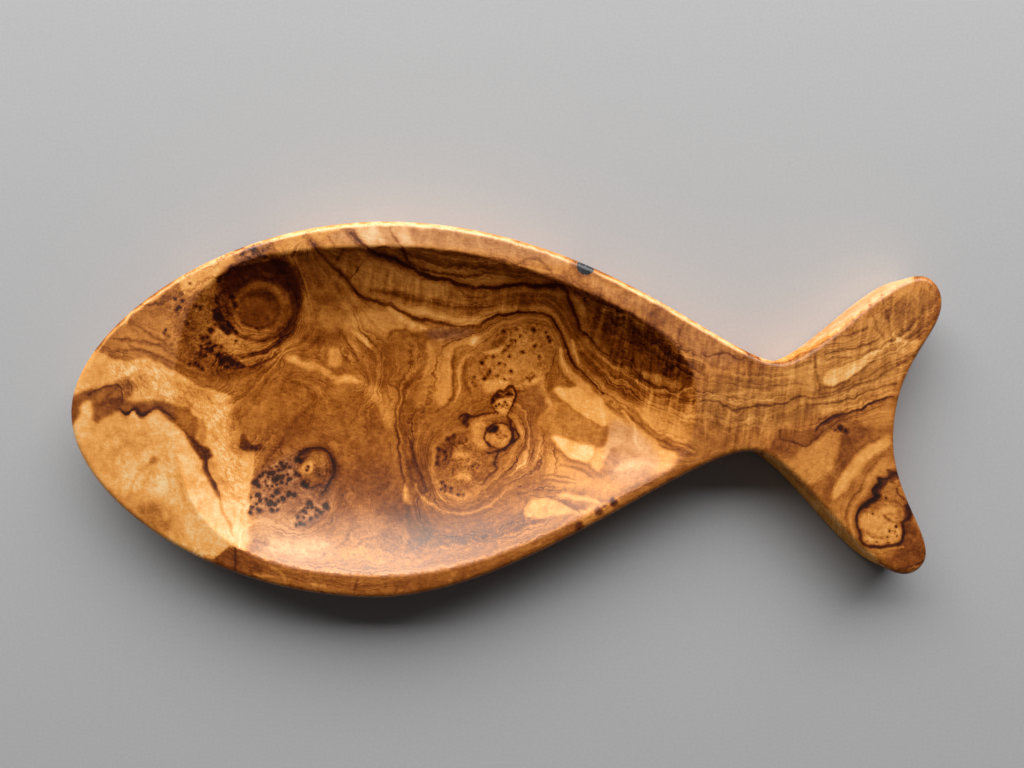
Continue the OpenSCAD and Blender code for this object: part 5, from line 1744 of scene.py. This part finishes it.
class Graph:
    """Adds nodes to a material and links them by their sockets."""

    def __init__(self, name):
        self.material = bpy.data.materials.new(name)
        self.material.use_nodes = True
        self.tree = self.material.node_tree
        self.shader = self.tree.nodes["Principled BSDF"]

    def put(self, socket, value):
        if isinstance(value, bpy.types.NodeSocket):
            self.tree.links.new(value, socket)
        else:
            socket.default_value = value

    def add(self, kind, inputs=(), **settings):
        made = self.tree.nodes.new("ShaderNode" + kind)
        for name, value in settings.items():
            setattr(made, name, value)
        for name, value in dict(inputs).items():
            self.put(made.inputs[name], value)
        return made

    def set(self, **inputs):
        for name, value in inputs.items():
            self.put(self.shader.inputs[name.replace("_", " ")], value)

    def math(self, operation, a, b=0.0, c=0.0):
        made = self.add("Math", {0: a, 1: b, 2: c}, operation=operation)
        return made.outputs[0]

    def attribute(self, name):
        return self.add("Attribute", attribute_name=name).outputs["Fac"]

    def place(self, stretch=(1, 1, 1), turn=0.0):
        """Places on the piece in millimetres, turned and then stretched along the axes."""
        where = self.add("TexCoord").outputs["Object"]
        about = (0, 0, math.radians(turn))
        turned = self.add("Mapping", {"Vector": where, "Rotation": about}).outputs["Vector"]
        scale = tuple(1 / (MM * s) for s in stretch)
        return self.add("Mapping", {"Vector": turned, "Scale": scale}).outputs["Vector"]

    def noise(self, vector, scale, detail=2.0, roughness=0.5, distortion=0.0):
        """Noise round zero, mostly within a quarter of it."""
        inputs = {"Vector": vector, "Scale": scale, "Detail": detail, "Roughness": roughness,
                  "Distortion": distortion}
        return self.math("SUBTRACT", self.add("TexNoise", inputs).outputs["Fac"], 0.5)

    def grain(self, name):
        """Noise with the sizes and turn of one of the grains."""
        sizes, turn, noise = GRAINS[name]
        return self.noise(self.place(sizes, turn), *noise)

    def rings(self, level, scale, detail=2.0):
        """Noise round zero along the levels of the growth rings."""
        inputs = {"W": level, "Scale": scale, "Detail": detail}
        made = self.add("TexNoise", inputs, noise_dimensions="1D")
        return self.math("SUBTRACT", made.outputs["Fac"], 0.5)

    def ramp(self, fac, stops):
        """A colour by its place between stops."""
        made = self.add("ValToRGB", {"Fac": fac})
        band = made.color_ramp.elements
        while len(band) < len(stops):
            band.new(0.5)
        for stop, (position, colour) in zip(band, stops):
            stop.position = position
            stop.color = colour
        return made.outputs["Color"]

    def tones(self, tone, colours):
        return self.ramp(tone, [(t, srgb(*c)) for t, c in zip(TONES, colours)])

    def mix(self, share, a, b):
        made = self.add("Mix", {"Factor": share}, data_type="RGBA")
        for socket, colour in zip([i for i in made.inputs if i.type == "RGBA"], (a, b)):
            self.put(socket, colour)
        return next(o for o in made.outputs if o.type == "RGBA")

    def range(self, value, low, high, to_low=0.0, to_high=1.0, kind="SMOOTHSTEP"):
        inputs = {"Value": value, "From Min": low, "From Max": high, "To Min": to_low, "To Max": to_high}
        return self.add("MapRange", inputs, interpolation_type=kind).outputs["Result"]

    def bump(self, height_field, strength, distance):
        inputs = {"Height": height_field, "Strength": strength, "Distance": distance}
        return self.add("Bump", inputs).outputs["Normal"]

    def sum(self, first, *parts):
        """The first value with each part added by its amount."""
        for part, amount in parts:
            first = self.math("MULTIPLY_ADD", part, amount, first)
        return first

    def product(self, first, *others):
        for other in others:
            first = self.math("MULTIPLY", first, other)
        return first


# Colours of the wood by tone: the common wood, its redder and mauve parts and its olive parts
TONES = (0.00, 0.14, 0.28, 0.40, 0.52, 0.66, 0.80, 1.00)
COMMON = ((26, 2, 0), (66, 16, 0), (112, 49, 1), (150, 78, 17), (186, 110, 38), (220, 141, 61),
          (244, 169, 84), (255, 216, 156))
MAUVE = ((30, 12, 6), (70, 31, 13), (116, 60, 28), (150, 86, 46), (184, 115, 64), (214, 147, 90),
         (236, 174, 116), (252, 210, 160))
OLIVE = ((26, 4, 0), (64, 20, 0), (110, 54, 4), (144, 83, 23), (178, 112, 41), (210, 143, 66),
         (233, 170, 92), (250, 208, 142))

# The tint of the gloss
SHEEN = (1.0, 0.96, 0.85, 1.0)

# Noises of the wood: features to a millimetre, detail, roughness, distortion
NOISES = {
    "bend": (0.10, 3),
    "ripple": (0.55, 2),
    "ring cover": (0.06, 2),
    "mottle": (0.30, 5, 0.6, 0.8),
    "cloud": (0.05, 3, 0.5, 0.5),
    "haze": (0.11, 4, 0.6, 1.2),
    "curl": (0.42, 3, 0.6, 2.2),
    "ragged": (0.8, 3),
    "fade": (0.12, 2),
}

# Noises with a direction: sizes along the axes in millimetres, turn in degrees, then as the noises
GRAINS = {
    "grain": ((1.6, 0.6, 0.8), 10, (1.0, 4, 0.7, 0.6)),
    "fibre": ((0.35, 3.5, 1.0), 8, (1.0, 3, 0.6)),
    "ribbon": ((1.5, 12.0, 5.0), 7, (1.0, 2, 0.5, 0.3)),
    "crinkle": ((1.3, 2.7, 1.0), -35, (1.0, 4, 0.6, 1.2)),
    "pores": ((0.25, 1.4, 0.5), 8, (1.6, 2)),
}

# Growth rings: features to a level, detail
RINGS = {
    "wide": (0.07, 1),
    "middle": (0.24, 2),
    "line": (0.42, 1),
    "pale line": (0.40, 1),
    "hair": (1.3, 2),
}

# How much each part of the figure lightens the wood, or darkens it below zero
AMOUNTS = {
    "wide": 0.32,
    "middle": 0.42,
    "line": -0.19,
    "pale line": 0.10,
    "hair": 0.14,
    "mottle": 0.33,
    "cloud": 0.20,
    "haze": 0.42,
    "grain": 0.34,
    "fibre": 0.15,
    "ribbon": 0.60,
    "crinkle": 0.85,
    "curl": 0.55,
    "vein halo": -0.13,
    "dot halo": -0.10,
    "dot ring": 0.06,
    "eye": -0.16,
    "bubble ring": 0.12,
}
PORES_AMOUNT = -0.05

# How far the rings stray in levels, how far on the pale lines lie, and where the rings show
RING_BEND = 14.0
RING_RIPPLE = 5.0
PALE_RINGS_ON = 400.0
RING_COVER = (-0.12, 0.15, 0.3, 1.0)
LINE_SHOWS = (0.06, 0.17)
PALE_LINE_SHOWS = (0.07, 0.18)
CALM_WIDE = -0.6

# Eyes and bubbles of the burls, in shares of their cells
EYE_CELLS = {"Scale": 0.55, "Randomness": 1.0}
EYE_SIZES = (0.35, 1.0, 0.0, 0.24)
EYE_EDGE = (0.06, -0.06)
BUBBLE_CELLS = {"Scale": 0.66, "Randomness": 0.9}
BUBBLE_EDGE = (0.39, 0.22)
BUBBLE_RING = (0.42, 0.55)
BUBBLE_DARK = 0.68

# Veins and dots: how ragged they are and where they show, in pixels from their drawn edges
VEIN_RAGGED = 2.8
VEIN_FADE = (-0.15, 0.15, 0.6, 1.0)
VEIN_CORE = (1.2, -0.8)
VEIN_HALO = (5.5, -1.0)
VEIN_DARK = 0.84
DOT_RAGGED = 3.0
DOT_CORE = (0.6, -1.2)
DOT_HALO = (2.6, -0.5)
DOT_RING_OUT = (4.5, 2.6)
DOT_RING_IN = (1.0, 2.6)
DOT_DARK = 0.78

# Pores, gloss and relief of the wood
PORES_SHOW = (0.13, 0.22)
WOOD_ROUGHNESS = (-0.3, 0.3, 0.32, 0.42)
WOOD_BUMP = 0.25
WOOD_RELIEF = 0.06 * MM
DARK_RELIEF = -0.6
PORES_RELIEF = -0.5

# The resin and the floor
RESIN_CLOUD = (0.8, 4, 0.6, 1.0)
RESIN_SHADES = (-0.2, 0.25)
RESIN_ROUGHNESS = (-0.2, 0.2, 0.28, 0.42)
RESIN_GRAIN = (3.0, 3)
RESIN_BUMP = 0.2
RESIN_RELIEF = 0.05 * MM
RESIN_COLOURS = ((0.0, srgb(30, 30, 32)), (0.6, srgb(58, 58, 60)), (1.0, srgb(112, 110, 107)))
FLOOR_GRAIN = (1.1, 3)
FLOOR_SHADES = (-0.3, 0.3)
FLOOR_ROUGHNESS = 0.9
FLOOR_COLOURS = ((0.0, srgb(176, 176, 177)), (1.0, srgb(182, 182, 182)))


def toned(g, parts):
    """How much parts of the figure lighten the wood together."""
    total = 0.0
    for name, part in parts.items():
        total = g.math("MULTIPLY_ADD", part, AMOUNTS[name], total)
    return total


def ring_tone(g, place, calm):
    """How much the growth rings lighten the wood."""
    bend, ripple, cover = (g.noise(place, *NOISES[name]) for name in ("bend", "ripple", "ring cover"))
    level = g.sum(g.attribute("rings"), (bend, RING_BEND), (ripple, RING_RIPPLE))
    names = ("wide", "middle", "line", "hair")
    wide, middle, line, hair = (g.rings(level, *RINGS[name]) for name in names)
    pale_line = g.rings(g.math("ADD", level, PALE_RINGS_ON), *RINGS["pale line"])
    lively = g.math("SUBTRACT", 1.0, calm)
    patchy = g.product(g.range(cover, *RING_COVER), lively)
    return toned(g, {
        "wide": g.product(wide, g.math("MULTIPLY_ADD", calm, CALM_WIDE, 1.0)),
        "middle": g.product(middle, patchy),
        "line": g.product(g.range(line, *LINE_SHOWS), patchy),
        "pale line": g.product(g.range(pale_line, *PALE_LINE_SHOWS), patchy),
        "hair": g.product(hair, lively),
    })


def grain_tone(g, place, calm, mottle, fibre):
    """How much the finer figure lightens the wood."""
    cloud, haze, curl = (g.noise(place, *NOISES[name]) for name in ("cloud", "haze", "curl"))
    return toned(g, {
        "mottle": mottle,
        "cloud": cloud,
        "haze": g.product(haze, calm),
        "grain": g.grain("grain"),
        "fibre": fibre,
        "ribbon": g.product(g.grain("ribbon"), g.attribute("ribbon")),
        "crinkle": g.product(g.grain("crinkle"), g.attribute("crinkle")),
        "curl": g.product(curl, g.attribute("burl")),
    })


def burl_eyes(g, place):
    """Small eyes of many sizes where the wood is burl."""
    cells = g.add("TexVoronoi", {"Vector": place, **EYE_CELLS})
    size = g.range(cells.outputs["Color"], *EYE_SIZES, "LINEAR")
    gap = g.math("SUBTRACT", cells.outputs["Distance"], size)
    return g.product(g.range(gap, *EYE_EDGE), g.attribute("burl"))


def marked(g, place, tone):
    """The tone with eyes, bubbles, veins and dots over it, and how dark the darkest of these are."""
    bubbles = g.add("TexVoronoi", {"Vector": place, **BUBBLE_CELLS}).outputs["Distance"]
    spots = g.attribute("spots")
    ragged, fade = (g.noise(place, *NOISES[name]) for name in ("ragged", "fade"))
    vein_gap = g.sum(g.attribute("vein_gap"), (ragged, VEIN_RAGGED))
    vein_dark = g.product(g.attribute("vein_dark"), g.range(fade, *VEIN_FADE))
    dot_gap = g.sum(g.attribute("dot_gap"), (ragged, DOT_RAGGED))
    soft = toned(g, {
        "vein halo": g.product(g.range(vein_gap, *VEIN_HALO), vein_dark),
        "dot halo": g.range(dot_gap, *DOT_HALO),
        "dot ring": g.product(g.range(dot_gap, *DOT_RING_OUT), g.range(dot_gap, *DOT_RING_IN)),
        "eye": burl_eyes(g, place),
        "bubble ring": g.product(g.range(bubbles, *BUBBLE_RING), spots),
    })
    core = g.product(g.range(vein_gap, *VEIN_CORE), vein_dark, VEIN_DARK)
    dot = g.product(g.range(dot_gap, *DOT_CORE), DOT_DARK)
    bubble = g.product(g.range(bubbles, *BUBBLE_EDGE), spots, BUBBLE_DARK)
    dark = g.math("MAXIMUM", g.math("MAXIMUM", core, dot), bubble)
    return g.product(g.math("ADD", tone, soft), g.math("SUBTRACT", 1.0, dark)), dark


def wood_colour(g, tone):
    """The colour of a tone, redder, mauve or olive by the hue of the wood."""
    hue = g.attribute("hue")
    colour = g.mix(g.range(hue, 0.0, 1.0), g.tones(tone, COMMON), g.tones(tone, MAUVE))
    return g.mix(g.range(hue, 0.0, -1.0), colour, g.tones(tone, OLIVE))


def wood_material():
    g = Graph("olive_wood")
    place = g.place()
    calm = g.attribute("calm")
    mottle = g.noise(place, *NOISES["mottle"])
    fibre = g.grain("fibre")
    pores = g.range(g.grain("pores"), *PORES_SHOW)
    tone = g.math("ADD", g.attribute("tone"), ring_tone(g, place, calm))
    tone = g.math("ADD", tone, grain_tone(g, place, calm, mottle, fibre))
    tone, dark = marked(g, place, tone)
    relief = g.sum(fibre, (dark, DARK_RELIEF), (pores, PORES_RELIEF))
    g.set(Base_Color=wood_colour(g, g.sum(tone, (pores, PORES_AMOUNT))))
    g.set(Roughness=g.range(mottle, *WOOD_ROUGHNESS, "LINEAR"))
    g.set(Specular_IOR_Level=g.attribute("polish"))
    g.set(Specular_Tint=SHEEN)
    g.set(Normal=g.bump(relief, WOOD_BUMP, WOOD_RELIEF))
    return g.material


def resin_material():
    g = Graph("dark_resin")
    cloud = g.noise(g.place(), *RESIN_CLOUD)
    g.set(Base_Color=g.ramp(g.range(cloud, *RESIN_SHADES), RESIN_COLOURS))
    g.set(Roughness=g.range(cloud, *RESIN_ROUGHNESS, "LINEAR"))
    g.set(Normal=g.bump(g.noise(g.place(), *RESIN_GRAIN), RESIN_BUMP, RESIN_RELIEF))
    return g.material


def floor_material():
    g = Graph("pale_floor")
    grain = g.noise(g.place(), *FLOOR_GRAIN)
    g.set(Base_Color=g.ramp(g.range(grain, *FLOOR_SHADES), FLOOR_COLOURS))
    g.set(Roughness=FLOOR_ROUGHNESS)
    return g.material


for piece, material in ((dish, wood_material()), (filler, resin_material())):
    piece.data.materials.clear()
    piece.data.materials.append(material)

# The stage, in metres: a plain floor, one wide window light, a dim room and the camera
FLOOR_HALF = 1.5
WINDOW_PLACE = (0.0, 1.00, 0.75)
WINDOW_SIZE = (2.2, 0.9)
WINDOW_POWER = 36
ROOM_LIGHT = 0.045
scene = bpy.context.scene


def add_floor():
    corners = [(-1, -1, 0), (1, -1, 0), (1, 1, 0), (-1, 1, 0)]
    mesh = bpy.data.meshes.new("floor")
    mesh.from_pydata([Vector(c) * FLOOR_HALF for c in corners], [], [(0, 1, 2, 3)])
    mesh.materials.append(floor_material())
    floor = placed("floor", mesh)


def add_window():
    light = bpy.data.lights.new("window", "AREA")
    light.shape = "RECTANGLE"
    light.size, light.size_y = WINDOW_SIZE
    light.energy = WINDOW_POWER
    lamp = placed("window", light)
    lamp.location = WINDOW_PLACE
    lamp.rotation_euler = (-Vector(WINDOW_PLACE)).to_track_quat("-Z", "Y").to_euler()


def add_room():
    scene.world = bpy.data.worlds.new("room")
    scene.world.use_nodes = True
    background = scene.world.node_tree.nodes["Background"]
    background.inputs["Color"].default_value = (1, 1, 1, 1)
    background.inputs["Strength"].default_value = ROOM_LIGHT


def add_camera():
    """A camera that looks straight down, from the eye that the figure is drawn through."""
    view = bpy.data.cameras.new("camera")
    view.sensor_width = SENSOR_W
    view.lens = FOCAL_PX / PICTURE_PX[0] * SENSOR_W
    view.clip_start = EYE[2] * MM * CLIP_SHARE
    scene.camera = placed("camera", view)
    scene.camera.location = Vector(EYE) * MM


add_floor()
add_window()
add_room()
add_camera()
scene.view_settings.view_transform = "Standard"
